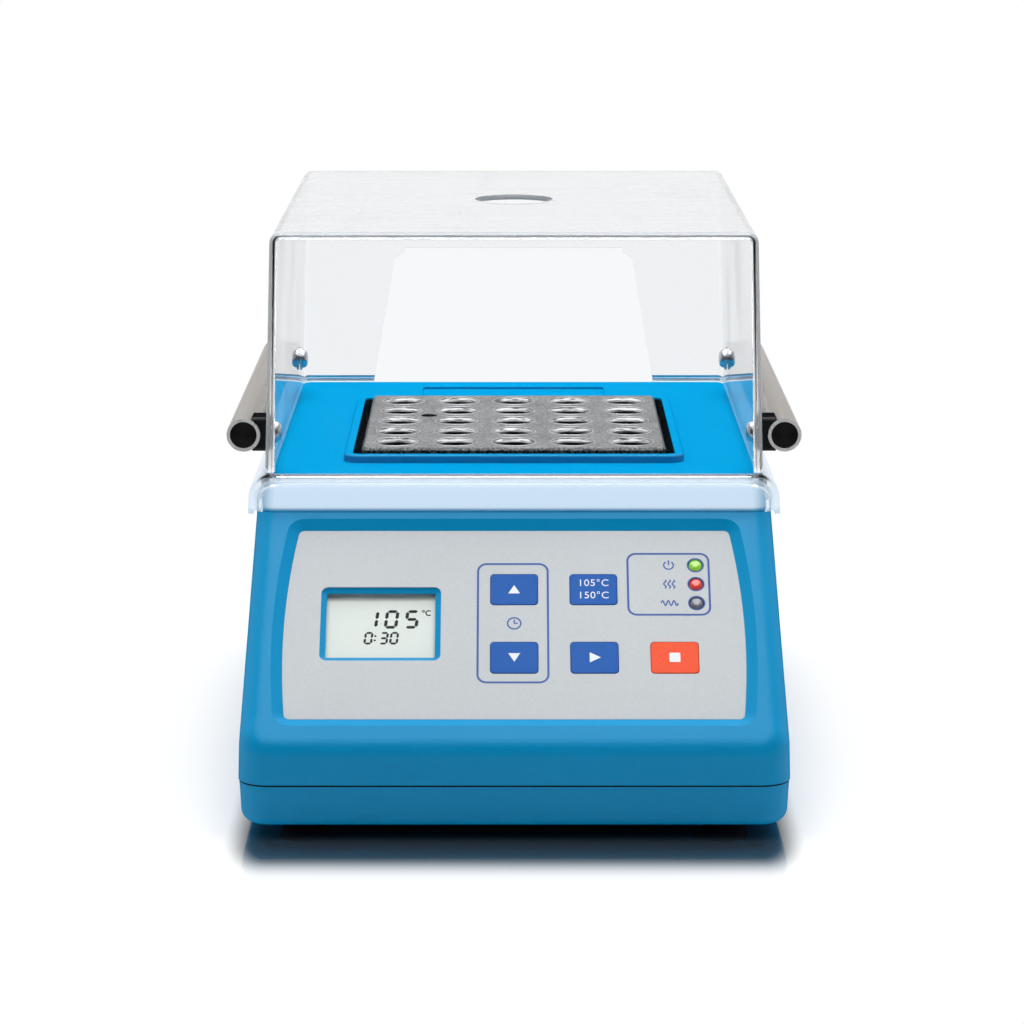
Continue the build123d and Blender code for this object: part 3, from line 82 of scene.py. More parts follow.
# Boxes of the CAD pieces that the looks are placed by.
block_low, block_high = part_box("heating_block")
block_middle = (block_low + block_high) / 2
shield_low, shield_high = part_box("clear_shield")
wall_front = shield_low.y + SKIRT_TO_WALL
tube_low, tube_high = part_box("handle_tube_right")
tube_middle = (tube_low + tube_high) / 2

# The panel's own frame: X across, Y up the slope, Z out of it, origin in the middle of the overlay's face.
panel_up = Vector((0, math.cos(PANEL_ANGLE), math.sin(PANEL_ANGLE)))
panel_out = Vector((0, -math.sin(PANEL_ANGLE), math.cos(PANEL_ANGLE)))
overlay_low, overlay_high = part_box("overlay")
panel_middle = (overlay_low + overlay_high) / 2 + panel_out * OVERLAY_THICKNESS / 2


def panel_matrix(height):
    """Turns panel millimetres into the row frame, at a height above the overlay's face in metres."""
    across = Vector((1, 0, 0))
    turn = Matrix((across, panel_up, panel_out)).transposed().to_4x4()
    return Matrix.Translation(panel_middle + panel_out * height) @ turn @ Matrix.Scale(MM, 4)


# ------------------------------------------------------------------ camera
FOCAL_PIXELS = 3400.0
FRAME_PIXELS = 1024.0
SENSOR_MM = 36.0
CAMERA_PLACE = Vector((-0.0017, -1.2701, 0.3514))
CAMERA_PITCH = math.radians(11.88)
CAMERA_YAW = 0.0008


def make_camera():
    """The photograph's camera, as fitted to the wells and the case's corners."""
    data = bpy.data.cameras.new("camera")
    data.sensor_width = SENSOR_MM
    data.lens = FOCAL_PIXELS / FRAME_PIXELS * SENSOR_MM
    data.clip_end = 100
    camera = bpy.data.objects.new("camera", data)
    camera.location = CAMERA_PLACE
    camera.rotation_euler = (math.pi / 2 - CAMERA_PITCH, 0, -CAMERA_YAW)
    bpy.context.scene.collection.objects.link(camera)
    bpy.context.scene.camera = camera


# ------------------------------------------------------------------ node helpers
def add_node(tree, kind, inputs=None, **settings):
    """A node with its settings, and its inputs set to values or wired to other nodes' outputs."""
    made = tree.nodes.new(kind)
    for name, value in settings.items():
        setattr(made, name, value)
    for name, value in (inputs or {}).items():
        if isinstance(value, bpy.types.NodeSocket):
            tree.links.new(value, made.inputs[name])
        else:
            made.inputs[name].default_value = value
    return made


def math_node(tree, operation, *values, clamp=False):
    """The result of a Math node."""
    return add_node(tree, "ShaderNodeMath", dict(enumerate(values)), operation=operation, use_clamp=clamp).outputs[0]


def mix_colour(tree, factor, first, second):
    """The result of a colour Mix node."""
    made = add_node(tree, "ShaderNodeMix", data_type="RGBA")
    for socket, value in zip((made.inputs[0], made.inputs[6], made.inputs[7]), (factor, first, second)):
        if isinstance(value, bpy.types.NodeSocket):
            tree.links.new(value, socket)
        else:
            socket.default_value = value
    return made.outputs[2]


def ramp(tree, value, low, high):
    """0 below low, 1 above high, and a straight line between."""
    return add_node(tree, "ShaderNodeMapRange", {"Value": value, "From Min": low, "From Max": high}).outputs[0]


def spread(tree, value, start, end, low, high, interpolation="LINEAR"):
    """low where the value is at start, high where it is at end."""
    return add_node(tree, "ShaderNodeMapRange", {"Value": value, "From Min": start, "From Max": end, "To Min": low,
                                                 "To Max": high}, interpolation_type=interpolation).outputs[0]


def product(tree, first, *others):
    """All the values multiplied."""
    for other in others:
        first = math_node(tree, "MULTIPLY", first, other)
    return first


def distance_from(tree, value, middle):
    """How far a value is from a middle, whichever side it is on."""
    return math_node(tree, "ABSOLUTE", math_node(tree, "SUBTRACT", value, middle))


def hypotenuse(tree, first, second):
    """The length of a flat vector."""
    squares = [math_node(tree, "MULTIPLY", value, value) for value in (first, second)]
    return math_node(tree, "SQRT", math_node(tree, "ADD", *squares))


def split(tree, vector):
    """A vector's X, Y and Z."""
    return add_node(tree, "ShaderNodeSeparateXYZ", {"Vector": vector}).outputs


def noise(tree, vector, scale, detail=2.0):
    """A noise texture's value."""
    return add_node(tree, "ShaderNodeTexNoise", {"Vector": vector, "Scale": scale, "Detail": detail}).outputs[0]


def stretch(tree, vector, scale):
    """A vector with each axis scaled."""
    return add_node(tree, "ShaderNodeMapping", {"Vector": vector, "Scale": scale}).outputs[0]


def new_group(name, inputs, outputs):
    """An empty shader group with typed sockets. Returns it with its input node."""
    tree = bpy.data.node_groups.new(name, "ShaderNodeTree")
    for socket, kind, value in inputs:
        made = tree.interface.new_socket(socket, in_out="INPUT", socket_type="NodeSocket" + kind)
        if value is not None:
            made.default_value = value
    for socket, kind in outputs:
        tree.interface.new_socket(socket, in_out="OUTPUT", socket_type="NodeSocket" + kind)
    return tree, tree.nodes.new("NodeGroupInput").outputs


def close_group(tree, **results):
    """Wires a group's results to its output node."""
    out = tree.nodes.new("NodeGroupOutput")
    for name, value in results.items():
        tree.links.new(value, out.inputs[name.replace("_", " ")])


def use_group(tree, group, **inputs):
    """A group placed in a tree, with its inputs set or wired."""
    made = tree.nodes.new("ShaderNodeGroup")
    made.node_tree = group
    for name, value in inputs.items():
        socket = made.inputs[name.replace("_", " ")]
        if isinstance(value, bpy.types.NodeSocket):
            tree.links.new(value, socket)
        else:
            socket.default_value = value
    return made.outputs


# ------------------------------------------------------------------ shared surface effects
def make_moulded_grain():
    """Spark-eroded tool grain: small soft pits of uneven size."""
    tree, given = new_group("moulded grain", [("Vector", "Vector", None), ("Grains per metre", "Float", 1800.0)],
                            [("Height", "Float")])
    pits = add_node(tree, "ShaderNodeTexVoronoi", {"Vector": given["Vector"], "Scale": given["Grains per metre"],
                                                   "Randomness": 1.0}, feature="SMOOTH_F1")
    fine = noise(tree, given["Vector"], given["Grains per metre"])
    close_group(tree, Height=math_node(tree, "ADD", pits.outputs["Distance"], fine))
    return tree


def make_colour_drift():
    """Uneven colour: slow clouds and a faint fleck, both round the given colour."""
    tree, given = new_group("colour drift", [("Vector", "Vector", None), ("Colour", "Color", (0.5, 0.5, 0.5, 1)),
                                             ("Amount", "Float", 0.05), ("Clouds per metre", "Float", 12.0),
                                             ("Flecks per metre", "Float", 900.0)],
                            [("Colour", "Color")])
    clouds = noise(tree, given["Vector"], given["Clouds per metre"], 3.0)
    flecks = noise(tree, given["Vector"], given["Flecks per metre"], 1.0)
    both = math_node(tree, "ADD", clouds, flecks)
    swing = math_node(tree, "MULTIPLY", math_node(tree, "SUBTRACT", both, 1.0), given["Amount"])
    value = math_node(tree, "ADD", swing, 1.0)
    shifted = add_node(tree, "ShaderNodeHueSaturation", {"Color": given["Colour"], "Value": value})
    close_group(tree, Colour=shifted.outputs[0])
    return tree


def make_brushed_lines():
    """Fine parallel lines along one axis, as left by a brushing belt."""
    tree, given = new_group("brushed lines", [("Vector", "Vector", None), ("Stretch", "Vector", (1, 1, 1))],
                            [("Lines", "Float"), ("Bands", "Float")])
    lanes = add_node(tree, "ShaderNodeVectorMath", {0: given["Vector"], 1: given["Stretch"]}, operation="MULTIPLY")
    lines = add_node(tree, "ShaderNodeTexNoise", {"Vector": lanes.outputs[0], "Scale": 1.0, "Detail": 4.0,
                                                  "Roughness": 0.65})
    close_group(tree, Lines=lines.outputs[0], Bands=noise(tree, lanes.outputs[0], 0.12))
    return tree


def make_hairline_scratches():
    """A mask of thin scratches in three directions, and one of small specks."""
    tree, given = new_group("hairline scratches", [("Vector", "Vector", None), ("Scratches per metre", "Float", 60.0),
                                                   ("Specks per metre", "Float", 90.0)],
                            [("Scratches", "Float"), ("Specks", "Float")])
    scratches = 0.0
    for turn in (0.3, 1.4, 2.5):
        turned = add_node(tree, "ShaderNodeMapping", {"Vector": given["Vector"], "Rotation": (turn, turn / 2, turn),
                                                      "Scale": (1.0, 0.05, 1.0)}).outputs[0]
        lines = noise(tree, turned, given["Scratches per metre"], 3.0)
        scratches = math_node(tree, "MAXIMUM", scratches, ramp(tree, distance_from(tree, lines, 0.5), 0.004, 0.0))
    patches = ramp(tree, noise(tree, given["Vector"], 30.0), 0.45, 0.7)
    dots = add_node(tree, "ShaderNodeTexVoronoi", {"Vector": given["Vector"], "Scale": given["Specks per metre"]})
    specks = ramp(tree, dots.outputs["Distance"], 0.03, 0.01)
    close_group(tree, Scratches=product(tree, scratches, patches), Specks=specks)
    return tree


moulded_grain = make_moulded_grain()
colour_drift = make_colour_drift()
brushed_lines = make_brushed_lines()
hairline_scratches = make_hairline_scratches()


# ------------------------------------------------------------------ materials
def srgb(red, green, blue):
    """A screen colour, 0 to 255, as the linear colour that the shader takes."""
    def linear(value):
        value /= 255
        return value / 12.92 if value <= 0.04045 else ((value + 0.055) / 1.055) ** 2.4
    return (linear(red), linear(green), linear(blue), 1.0)


NOISE_RANGE = (0.3, 0.7)  # nearly all of a noise's values lie in it
WHITE = (1, 1, 1, 1)
# painted shade, laid black into the case's recesses
PAINTED_SHADE_BLACK = srgb(14, 15, 17)
# painted highlight for the tubes' cut ends
END_PAINTED_HIGHLIGHT = srgb(232, 230, 227)


def new_material(name):
    """An empty node material. Returns its tree and the object coordinates in it."""
    material = bpy.data.materials.new(name)
    material.use_nodes = True
    tree = material.node_tree
    tree.nodes.clear()
    place = tree.nodes.new("ShaderNodeTexCoord").outputs["Object"]
    return material, tree, place


def finish_material(tree, shader):
    """Wires a shader to the material's output."""
    add_node(tree, "ShaderNodeOutputMaterial", {"Surface": shader})


def bump(tree, height, depth):
    """A normal from a height of the given depth in metres."""
    return add_node(tree, "ShaderNodeBump", {"Height": height, "Distance": depth, "Strength": 1.0}).outputs[0]


def darker(colour, share):
    """A colour at a share of its brightness."""
    return [share * part for part in colour[:3]] + [1]


def principled(tree, **inputs):
    """The Principled shader with its sockets set by name."""
    return add_node(tree, "ShaderNodeBsdfPrincipled",
                    {name.replace("_", " "): value for name, value in inputs.items()}).outputs[0]


def diffuse(tree, colour):
    """A matt shader."""
    return add_node(tree, "ShaderNodeBsdfDiffuse", {"Color": colour}).outputs[0]


def emission(tree, colour, strength):
    """A shader that only shines."""
    return add_node(tree, "ShaderNodeEmission", {"Color": colour, "Strength": strength}).outputs[0]


def mix_shader(tree, share, first, second):
    """The first shader, with a share of the second."""
    return add_node(tree, "ShaderNodeMixShader", {0: share, 1: first, 2: second}).outputs[0]


def moulded_plastic(name, colour, roughness, grains=1800.0, depth=0.02 * MM, drift=0.05, gloss=0.3, dark=None):
    """Moulded plastic with a fine tool grain. dark, where given, is a mask of painted shade, laid black where shade
    falls in its recesses.
    """
    material, tree, place = new_material(name)
    tinted = use_group(tree, colour_drift, Vector=place, Colour=colour, Amount=drift)["Colour"]
    if dark is not None:
        # painted shade: the recesses are coloured black
        tinted = mix_colour(tree, dark(tree, place), tinted, PAINTED_SHADE_BLACK)
    grain = use_group(tree, moulded_grain, Vector=place, Grains_per_metre=grains)["Height"]
    rough = spread(tree, noise(tree, place, 35.0, 4.0), *NOISE_RANGE, roughness - 0.04, roughness + 0.05)
    # The sheen fades at grazing angles, where it would veil the colour in a pale studio.
    facing = tree.nodes.new("ShaderNodeLayerWeight").outputs["Facing"]
    sheen = product(tree, ramp(tree, facing, 0.75, 0.35), gloss)
    finish_material(tree, principled(tree, Base_Color=tinted, Roughness=rough, Specular_IOR_Level=sheen,
                                     Normal=bump(tree, grain, depth)))
    return material


def case_painted_shade(tree, place):
    """Painted shade: 1 on the collar's inner wall, with ribs, and in the seam between the case's halves, where shade
    falls in the gaps.
    """
    wall_play, rib_pitch, rib_shade, wall_shade = 0.3 * MM, 2.4 * MM, 0.03, 0.95
    below_seam, above_seam = 0.6 * MM, 0.03 * MM
    parts = split(tree, place)
    across = distance_from(tree, parts["X"], block_middle.x)
    along = distance_from(tree, parts["Y"], block_middle.y)
    wall_reach = (block_high.x - block_low.x) / 2 + COLLAR_GAP + wall_play
    inside = math_node(tree, "LESS_THAN", math_node(tree, "MAXIMUM", across, along), wall_reach)
    sunk = math_node(tree, "LESS_THAN", parts["Z"], block_high.z - COLLAR_SHADE_DROP)
    ribs = math_node(tree, "SINE", product(tree, math_node(tree, "MINIMUM", across, along), 2 * math.pi / rib_pitch))
    ribbed = math_node(tree, "ADD", product(tree, ribs, rib_shade), wall_shade)
    # painted shade in the seam's gap
    seam = product(tree, math_node(tree, "GREATER_THAN", parts["Z"], SEAM - below_seam),
                   math_node(tree, "LESS_THAN", parts["Z"], SEAM + above_seam))
    return math_node(tree, "MAXIMUM", product(tree, inside, sunk, ribbed), seam)


def machined_metal(name, colour, roughness, lines=(900, 900, 900), depth=0.01 * MM, ends=None):
    """Bare metal with tool lines whose stretch sets their direction. Cut faces at the two ends in Y are paler, a
    painted highlight for the bright ring that they show.
    """
    material, tree, place = new_material(name)
    brushed = use_group(tree, brushed_lines, Vector=place, Stretch=lines)
    tinted = use_group(tree, colour_drift, Vector=place, Colour=colour, Amount=0.08)["Colour"]
    rough = spread(tree, brushed["Bands"], *NOISE_RANGE, roughness - 0.06, roughness + 0.08)
    metallic = 1.0
    if ends is not None:
        start, end = ends
        cut_depth = 0.15 * MM
        off = distance_from(tree, split(tree, place)["Y"], (start + end) / 2)
        # painted highlight: the end faces are paler and less metallic
        painted_end_highlight = math_node(tree, "GREATER_THAN", off, (end - start) / 2 - cut_depth)
        tinted = mix_colour(tree, painted_end_highlight, tinted, END_PAINTED_HIGHLIGHT)
        metallic = math_node(tree, "SUBTRACT", 1.0, product(tree, painted_end_highlight, 0.65))
    finish_material(tree, principled(tree, Base_Color=tinted, Metallic=metallic, Roughness=rough,
                                     Normal=bump(tree, brushed["Lines"], depth)))
    return material


def turned_plugs(name, colour, roughness, out, up):
    """Turned plugs at both sides, with rings round lines along Y that lie this far out and up."""
    ring_pitch, ring_depth = 0.45 * MM, 0.015 * MM
    material, tree, place = new_material(name)
    parts = split(tree, place)
    dx = math_node(tree, "SUBTRACT", math_node(tree, "ABSOLUTE", parts["X"]), out)
    dz = math_node(tree, "SUBTRACT", parts["Z"], up)
    grooves = math_node(tree, "SINE", product(tree, hypotenuse(tree, dx, dz), 2 * math.pi / ring_pitch))
    uneven = noise(tree, place, 500.0, 3.0)
    tinted = mix_colour(tree, ramp(tree, uneven, *NOISE_RANGE), colour, darker(colour, 0.7))
    finish_material(tree, principled(tree, Base_Color=tinted, Metallic=0.6, Roughness=roughness,
                                     Normal=bump(tree, math_node(tree, "ADD", grooves, uneven), ring_depth)))
    return material


def blasted_aluminium(name):
    """The block's metal: grainy top, speckled sides, and bored wells whose painted shade darkens with depth.

    A painted highlight below each well's mouth has tool chatter, and a painted glow stands in for light that bounces
    between its walls."""
    top_dark, top_pale = srgb(100, 101, 101), srgb(150, 150, 149)
    side_dark, side_pale = srgb(52, 54, 55), srgb(108, 110, 111)
    # painted shade deep in the wells, and a painted highlight just below their mouths
    well_painted_shade, well_painted_highlight = srgb(24, 25, 26), srgb(236, 237, 238)
    band_start, band_full, band_fade, band_end = 0.2 * MM, 0.5 * MM, 0.9 * MM, 2.1 * MM
    material, tree, place = new_material(name)
    parts = split(tree, place)
    # Each well's own X and Y, from a place that repeats with the wells.
    in_well = []
    for axis, middle in zip("XY", block_middle):
        moved = math_node(tree, "SUBTRACT", parts[axis], middle - WELL_PITCH / 2)
        wrapped = math_node(tree, "FLOORED_MODULO", moved, WELL_PITCH)
        in_well.append(math_node(tree, "SUBTRACT", wrapped, WELL_PITCH / 2))
    within = ramp(tree, hypotenuse(tree, *in_well), WELL_RADIUS + 0.2 * MM, WELL_RADIUS + 0.05 * MM)
    depth = math_node(tree, "SUBTRACT", block_high.z, parts["Z"])
    below = ramp(tree, depth, 0.1 * MM, 0.5 * MM)
    wall = product(tree, within, below)
    side = math_node(tree, "SUBTRACT", below, wall, clamp=True)
    grains = noise(tree, place, 1100.0, 3.0)
    patches = noise(tree, place, 60.0, 4.0)
    mottled = math_node(tree, "ADD", product(tree, grains, 0.75), product(tree, patches, 0.25))
    flat = mix_colour(tree, ramp(tree, mottled, 0.40, 0.62), top_dark, top_pale)
    speckled = mix_colour(tree, ramp(tree, grains, 0.42, 0.6), side_dark, side_pale)
    # painted highlight: a pale band below each well's mouth
    highlight_band = math_node(tree, "SUBTRACT", ramp(tree, depth, band_start, band_full),
                     ramp(tree, depth, band_fade, band_end), clamp=True)
    bored = mix_colour(tree, highlight_band, well_painted_shade, well_painted_highlight)
    colour = mix_colour(tree, side, flat, speckled)
    colour = mix_colour(tree, wall, colour, bored)
    chatter = noise(tree, stretch(tree, place, (260.0, 260.0, 2200.0)), 1.0, 3.0)
    relief = add_node(tree, "ShaderNodeMix", {0: wall, 2: grains, 3: chatter}, data_type="FLOAT").outputs[0]
    solid = math_node(tree, "SUBTRACT", 1.0, product(tree, wall, 0.6))
    # painted glow on the rear walls, for light that bounces between them
    rear = ramp(tree, in_well[1], 0.3 * WELL_RADIUS, 0.8 * WELL_RADIUS)
    painted_glow = product(tree, highlight_band, rear, wall, ramp(tree, chatter, 0.36, 0.56), PAINTED_BOUNCE_GLOW)
    finish_material(tree, principled(tree, Base_Color=colour, Metallic=solid,
                                     Roughness=spread(tree, wall, 0.0, 1.0, 0.5, 0.24),
                                     Emission_Color=WHITE, Emission_Strength=painted_glow,
                                     Normal=bump(tree, relief, 0.04 * MM)))
    return material


def clear_plastic(name, tint, roughness, haze, straight_share, glow=None):
    """Clear moulded plastic.

    A view that meets it nearly square passes straight through, unless the ray is inside the plastic after a bend.
    Light that only passes through to the inside isn't bent or stopped. glow, where given, is a mask of where a
    highlight is painted on as a glow, for the lamps' reflection in the skirt, and brings the shield's painted grey
    shade with it."""
    # painted shade: greys for the silhouette's edges and for the shield's bends and hole; the second also colours
    # scuffs and dust
    rim_painted_shade, shade_and_scuff_grey = srgb(196, 198, 200), srgb(188, 191, 194)
    # the pale blue-white colour here is the painted highlight of the skirt
    dust, painted_highlight_colour, seen_through = (0.9, 0.92, 0.94, 1), srgb(216, 236, 254), (0.965, 0.97, 0.975, 1)
    square_on, slanted = 0.22, 0.32  # of the Facing value, up to which a view passes straight and from which it bends
    material, tree, place = new_material(name)
    facing = tree.nodes.new("ShaderNodeLayerWeight").outputs["Facing"]
    path = tree.nodes.new("ShaderNodeLightPath").outputs
    marks = use_group(tree, hairline_scratches, Vector=place)
    # painted shade: the tint turns grey at the silhouette's edges
    edge = mix_colour(tree, ramp(tree, facing, 0.9, 0.995), tint, rim_painted_shade)
    rough = math_node(tree, "ADD", product(tree, marks["Scratches"], 0.12), roughness)
    solid = principled(tree, Base_Color=edge, Roughness=rough, IOR=1.49, Transmission_Weight=1.0,
                       Normal=bump(tree, noise(tree, place, 14.0, 1.0), 0.05 * MM))
    through = add_node(tree, "ShaderNodeBsdfTransparent", {"Color": seen_through}).outputs[0]
    inside = math_node(tree, "MODULO", path["Transmission Depth"], 2.0)
    outside = math_node(tree, "SUBTRACT", 1.0, inside, clamp=True)
    straight = product(tree, ramp(tree, facing, slanted, square_on), outside, straight_share)
    smudges = ramp(tree, noise(tree, place, 22.0, 5.0), 0.5, 0.75)
    worn = product(tree, math_node(tree, "ADD", smudges, marks["Scratches"]), 2.0 * haze)
    worn = math_node(tree, "ADD", product(tree, marks["Specks"], 0.3), worn)
    look = mix_shader(tree, straight, solid, through)
    look = mix_shader(tree, math_node(tree, "ADD", worn, haze), look, diffuse(tree, dust))
    if glow is not None:
        # painted shade on the shield's bends and hole, with scuffs and dust
        look = mix_shader(tree, painted_shade_and_scuffs(tree, place, facing), look, diffuse(tree, shade_and_scuff_grey))
        # painted highlight: the skirt shines where the lamps would be mirrored in its rounded front
        look = mix_shader(tree, product(tree, glow(tree, place), SKIRT_PAINTED_HIGHLIGHT), look, emission(tree, painted_highlight_colour, 0.97))
    passing = math_node(tree, "MAXIMUM", path["Is Shadow Ray"], path["Is Diffuse Ray"])
    finish_material(tree, mix_shader(tree, passing, look, through))
    return material


def painted_shade_and_scuffs(tree, place, facing):
    """Where the shield looks grey: painted shade on its rounded front edges and the hole's wall, and scuffs and dust on
    its top.
    """
    bend_share, hole_share, scuff_share, dust_share = 0.75, 0.8, 0.3, 0.1
    parts = split(tree, place)
    rise = math_node(tree, "SUBTRACT", parts["Z"], shield_low.z + SKIRT_RISE)
    leaning = math_node(tree, "SUBTRACT", parts["Y"], product(tree, rise, SHIELD_LEAN))
    edge_depth = wall_front + WALL_FRONT
    # painted shade on the rounded front edges, at slanting views
    bend = product(tree, ramp(tree, facing, 0.22, 0.6), ramp(tree, leaning, edge_depth + 1 * MM, edge_depth),
                   ramp(tree, rise, 3 * MM, 5 * MM))
    dx = math_node(tree, "SUBTRACT", parts["X"], block_middle.x)
    dy = math_node(tree, "SUBTRACT", parts["Y"], block_middle.y + VENT_SETBACK)
    # painted shade on the hole's wall and a rim round it
    hole = ramp(tree, hypotenuse(tree, dx, dy), VENT_RADIUS + 1.2 * MM, VENT_RADIUS + 0.8 * MM)
    near_top = ramp(tree, parts["Z"], shield_high.z - 3 * MM, shield_high.z - 1 * MM)
    streaks = add_node(tree, "ShaderNodeTexNoise", {"Vector": stretch(tree, place, (18.0, 90.0, 18.0)), "Scale": 1.0,
                                                    "Detail": 6.0, "Roughness": 0.7}).outputs[0]
    toward_sides = ramp(tree, math_node(tree, "ABSOLUTE", parts["X"]), 30 * MM, 80 * MM)
    toward_front = ramp(tree, parts["Y"], wall_front + 45 * MM, wall_front)
    worn = math_node(tree, "ADD", math_node(tree, "MAXIMUM", toward_sides, toward_front), 0.25)
    scuffs = product(tree, ramp(tree, streaks, 0.46, 0.72), worn, scuff_share)
    top = product(tree, near_top, math_node(tree, "MAXIMUM", product(tree, hole, hole_share),
                                            math_node(tree, "ADD", scuffs, dust_share)))
    return math_node(tree, "MAXIMUM", product(tree, bend, bend_share), top, clamp=True)


def painted_skirt_highlight(tree, place):
    """Where a highlight is painted on the shield's skirt, for the lamps' reflection in it: fully along the front edge,
    in part at the sides.
    """
    parts = split(tree, place)
    up = math_node(tree, "SUBTRACT", parts["Z"], SKIRT_LOW)
    out = math_node(tree, "ABSOLUTE", parts["X"])
    uneven = math_node(tree, "ADD", out, product(tree, noise(tree, place, 45.0), 4 * MM))
    front = product(tree, ramp(tree, uneven, shield_high.x - 3 * MM, shield_high.x - 9 * MM),
                    ramp(tree, up, 0.6 * MM, 1.8 * MM), ramp(tree, up, 12.2 * MM, 10.2 * MM),
                    ramp(tree, parts["Y"], shield_low.y + 8.0 * MM, shield_low.y + 5.0 * MM))
    sides = product(tree, ramp(tree, out, shield_high.x - 4.5 * MM, shield_high.x - 2.5 * MM),
                    ramp(tree, up, 13 * MM, 9 * MM), SIDE_PAINTED_HIGHLIGHT)
    return math_node(tree, "MAXIMUM", front, sides)


def lamp_lens(name, colour, glow):
    """Tinted lamp lens, lit from behind by its own glow."""
    material, tree, place = new_material(name)
    clouds = ramp(tree, noise(tree, place, 700.0), *NOISE_RANGE)
    tinted = mix_colour(tree, clouds, colour, darker(colour, 0.8))
    finish_material(tree, principled(tree, Base_Color=tinted, Roughness=0.18, Emission_Color=tinted,
                                     Emission_Strength=glow, Coat_Weight=0.6, Coat_Roughness=0.05))
    return material


def floor_distance(tree, parts, half_width, half_depth, side_scale=1.0):
    """How far a floor point lies outside a rectangle round the origin."""
    sides = []
    for axis, half, scale in (("X", half_width, side_scale), ("Y", half_depth, 1.0)):
        past = math_node(tree, "SUBTRACT", math_node(tree, "ABSOLUTE", parts[axis]), half)
        sides.append(product(tree, math_node(tree, "MAXIMUM", past, 0.0), scale))
    return hypotenuse(tree, *sides)


def plain_floor():
    """Pale floor that keeps the object's shadow near it and runs to plain white further out."""
    pale, paler, shadow = srgb(240, 240, 240), srgb(243, 243, 243), (0.002, 0.012, 0.022, 1)
    # Half sizes of the areas that shadow and whiteness are measured from, and how far they run out.
    shadow_width, shadow_depth, shadow_narrowing = 0.084, 0.150, 2.6
    shadow_start, shadow_end, shadow_strength = 0.016, 0.044, 0.97
    white_width, white_depth, white_end = 0.096, 0.168, 0.05
    dim_start, dim_end, dim_light = -0.2, -0.5, 0.03
    material, tree, place = new_material("pale floor")
    parts = split(tree, place)
    path = tree.nodes.new("ShaderNodeLightPath").outputs
    shade = mix_colour(tree, noise(tree, place, 3.0), pale, paler)
    # The shadow under the case is deepened by colour, which light that bounces off the floor doesn't meet.
    near = floor_distance(tree, parts, shadow_width, shadow_depth, shadow_narrowing)
    covered = spread(tree, near, shadow_start, shadow_end, shadow_strength, 0.0, "SMOOTHSTEP")
    covered = math_node(tree, "SUBTRACT", covered, path["Is Diffuse Ray"], clamp=True)
    lit = principled(tree, Base_Color=mix_colour(tree, covered, shade, shadow), Roughness=0.08, Specular_IOR_Level=0.5)
    seen = math_node(tree, "MAXIMUM", path["Is Camera Ray"],
                     math_node(tree, "MAXIMUM", path["Is Glossy Ray"], path["Is Transmission Ray"]))
    away = floor_distance(tree, parts, white_width, white_depth)
    whiteness = product(tree, spread(tree, away, 0.0, white_end, 0.0, 1.0, "SMOOTHSTEP"), seen)
    look = mix_shader(tree, whiteness, lit, emission(tree, WHITE, 1.0))
    # What the shield mirrors of the floor in front of the object is dim, as in a room.
    mirrored = math_node(tree, "MINIMUM", path["Glossy Depth"], 1.0)
    before = product(tree, ramp(tree, parts["Y"], dim_start, dim_end), mirrored)
    finish_material(tree, mix_shader(tree, before, look, emission(tree, WHITE, dim_light)))
    return material


OVERLAY_GRAIN = dict(grains=2600.0, depth=0.008 * MM, gloss=0.1)
PRINT_GRAIN = dict(grains=2600.0, depth=0.004 * MM)
finishes = {
    "blue_case": moulded_plastic("blue case plastic", srgb(0, 142, 196), 0.38, gloss=0.17, dark=case_painted_shade),
    "overlay_grey": moulded_plastic("grey overlay film", srgb(199, 204, 207), 0.42, drift=0.10, **OVERLAY_GRAIN),
    "key_blue": moulded_plastic("blue key film", srgb(34, 94, 176), 0.40, drift=0.12, **OVERLAY_GRAIN),
    "key_orange": moulded_plastic("orange key film", srgb(246, 90, 56), 0.40, drift=0.12, **OVERLAY_GRAIN),
    "clear_shield": clear_plastic("clear shield plastic", (0.985, 0.987, 0.987, 1), 0.015, 0.003, 1.0, painted_skirt_highlight),
    "clear_pane": clear_plastic("clear window pane", (0.99, 1.0, 0.99, 1), 0.01, 0.0, 1.0),
    "block_aluminium": blasted_aluminium("milled block aluminium"),
    "black_plastic": moulded_plastic("black plastic", srgb(18, 19, 21), 0.45, gloss=0.2),
    "foot_rubber": moulded_plastic("rubber of the feet", srgb(34, 36, 42), 0.7, 900.0),
    "stainless": machined_metal("brushed steel tube", srgb(148, 143, 137), 0.30, (2600, 60, 2600),
                                ends=(tube_low.y, tube_high.y)),
    "plated_steel": machined_metal("plated steel", srgb(200, 201, 203), 0.22),
    "mineral_wool": moulded_plastic("mineral wool", srgb(205, 198, 178), 0.9, 500.0, 0.3 * MM, 0.2),
    "heater_foil": moulded_plastic("heater foil", srgb(150, 92, 50), 0.5),
    "circuit_board": moulded_plastic("circuit board resin", srgb(38, 110, 64), 0.35),
    "nylon": moulded_plastic("nylon spacer", srgb(226, 224, 214), 0.5),
    "brass": machined_metal("turned brass", srgb(205, 170, 100), 0.25),
    "lamp_green": lamp_lens("green lamp lens", srgb(140, 200, 60), 0.35),
    "lamp_red": lamp_lens("red lamp lens", srgb(215, 58, 48), 0.25),
    "lamp_grey": lamp_lens("grey lamp lens", srgb(126, 128, 140), 0.0),
    "display_grey": moulded_plastic("pale display glass", srgb(246, 252, 244), 0.5, 3500.0, 0.004 * MM, 0.03, 0.1),
    "core_iron": machined_metal("transformer iron", srgb(90, 88, 86), 0.5),
    "relay_plastic": moulded_plastic("blue relay plastic", srgb(60, 100, 170), 0.4),
    "sink_aluminium": machined_metal("dark heat sink aluminium", srgb(70, 71, 74), 0.4),
    "fuse_glass": clear_plastic("clear fuse glass", (0.96, 0.98, 0.97, 1), 0.02, 0.0, 0.0),
}
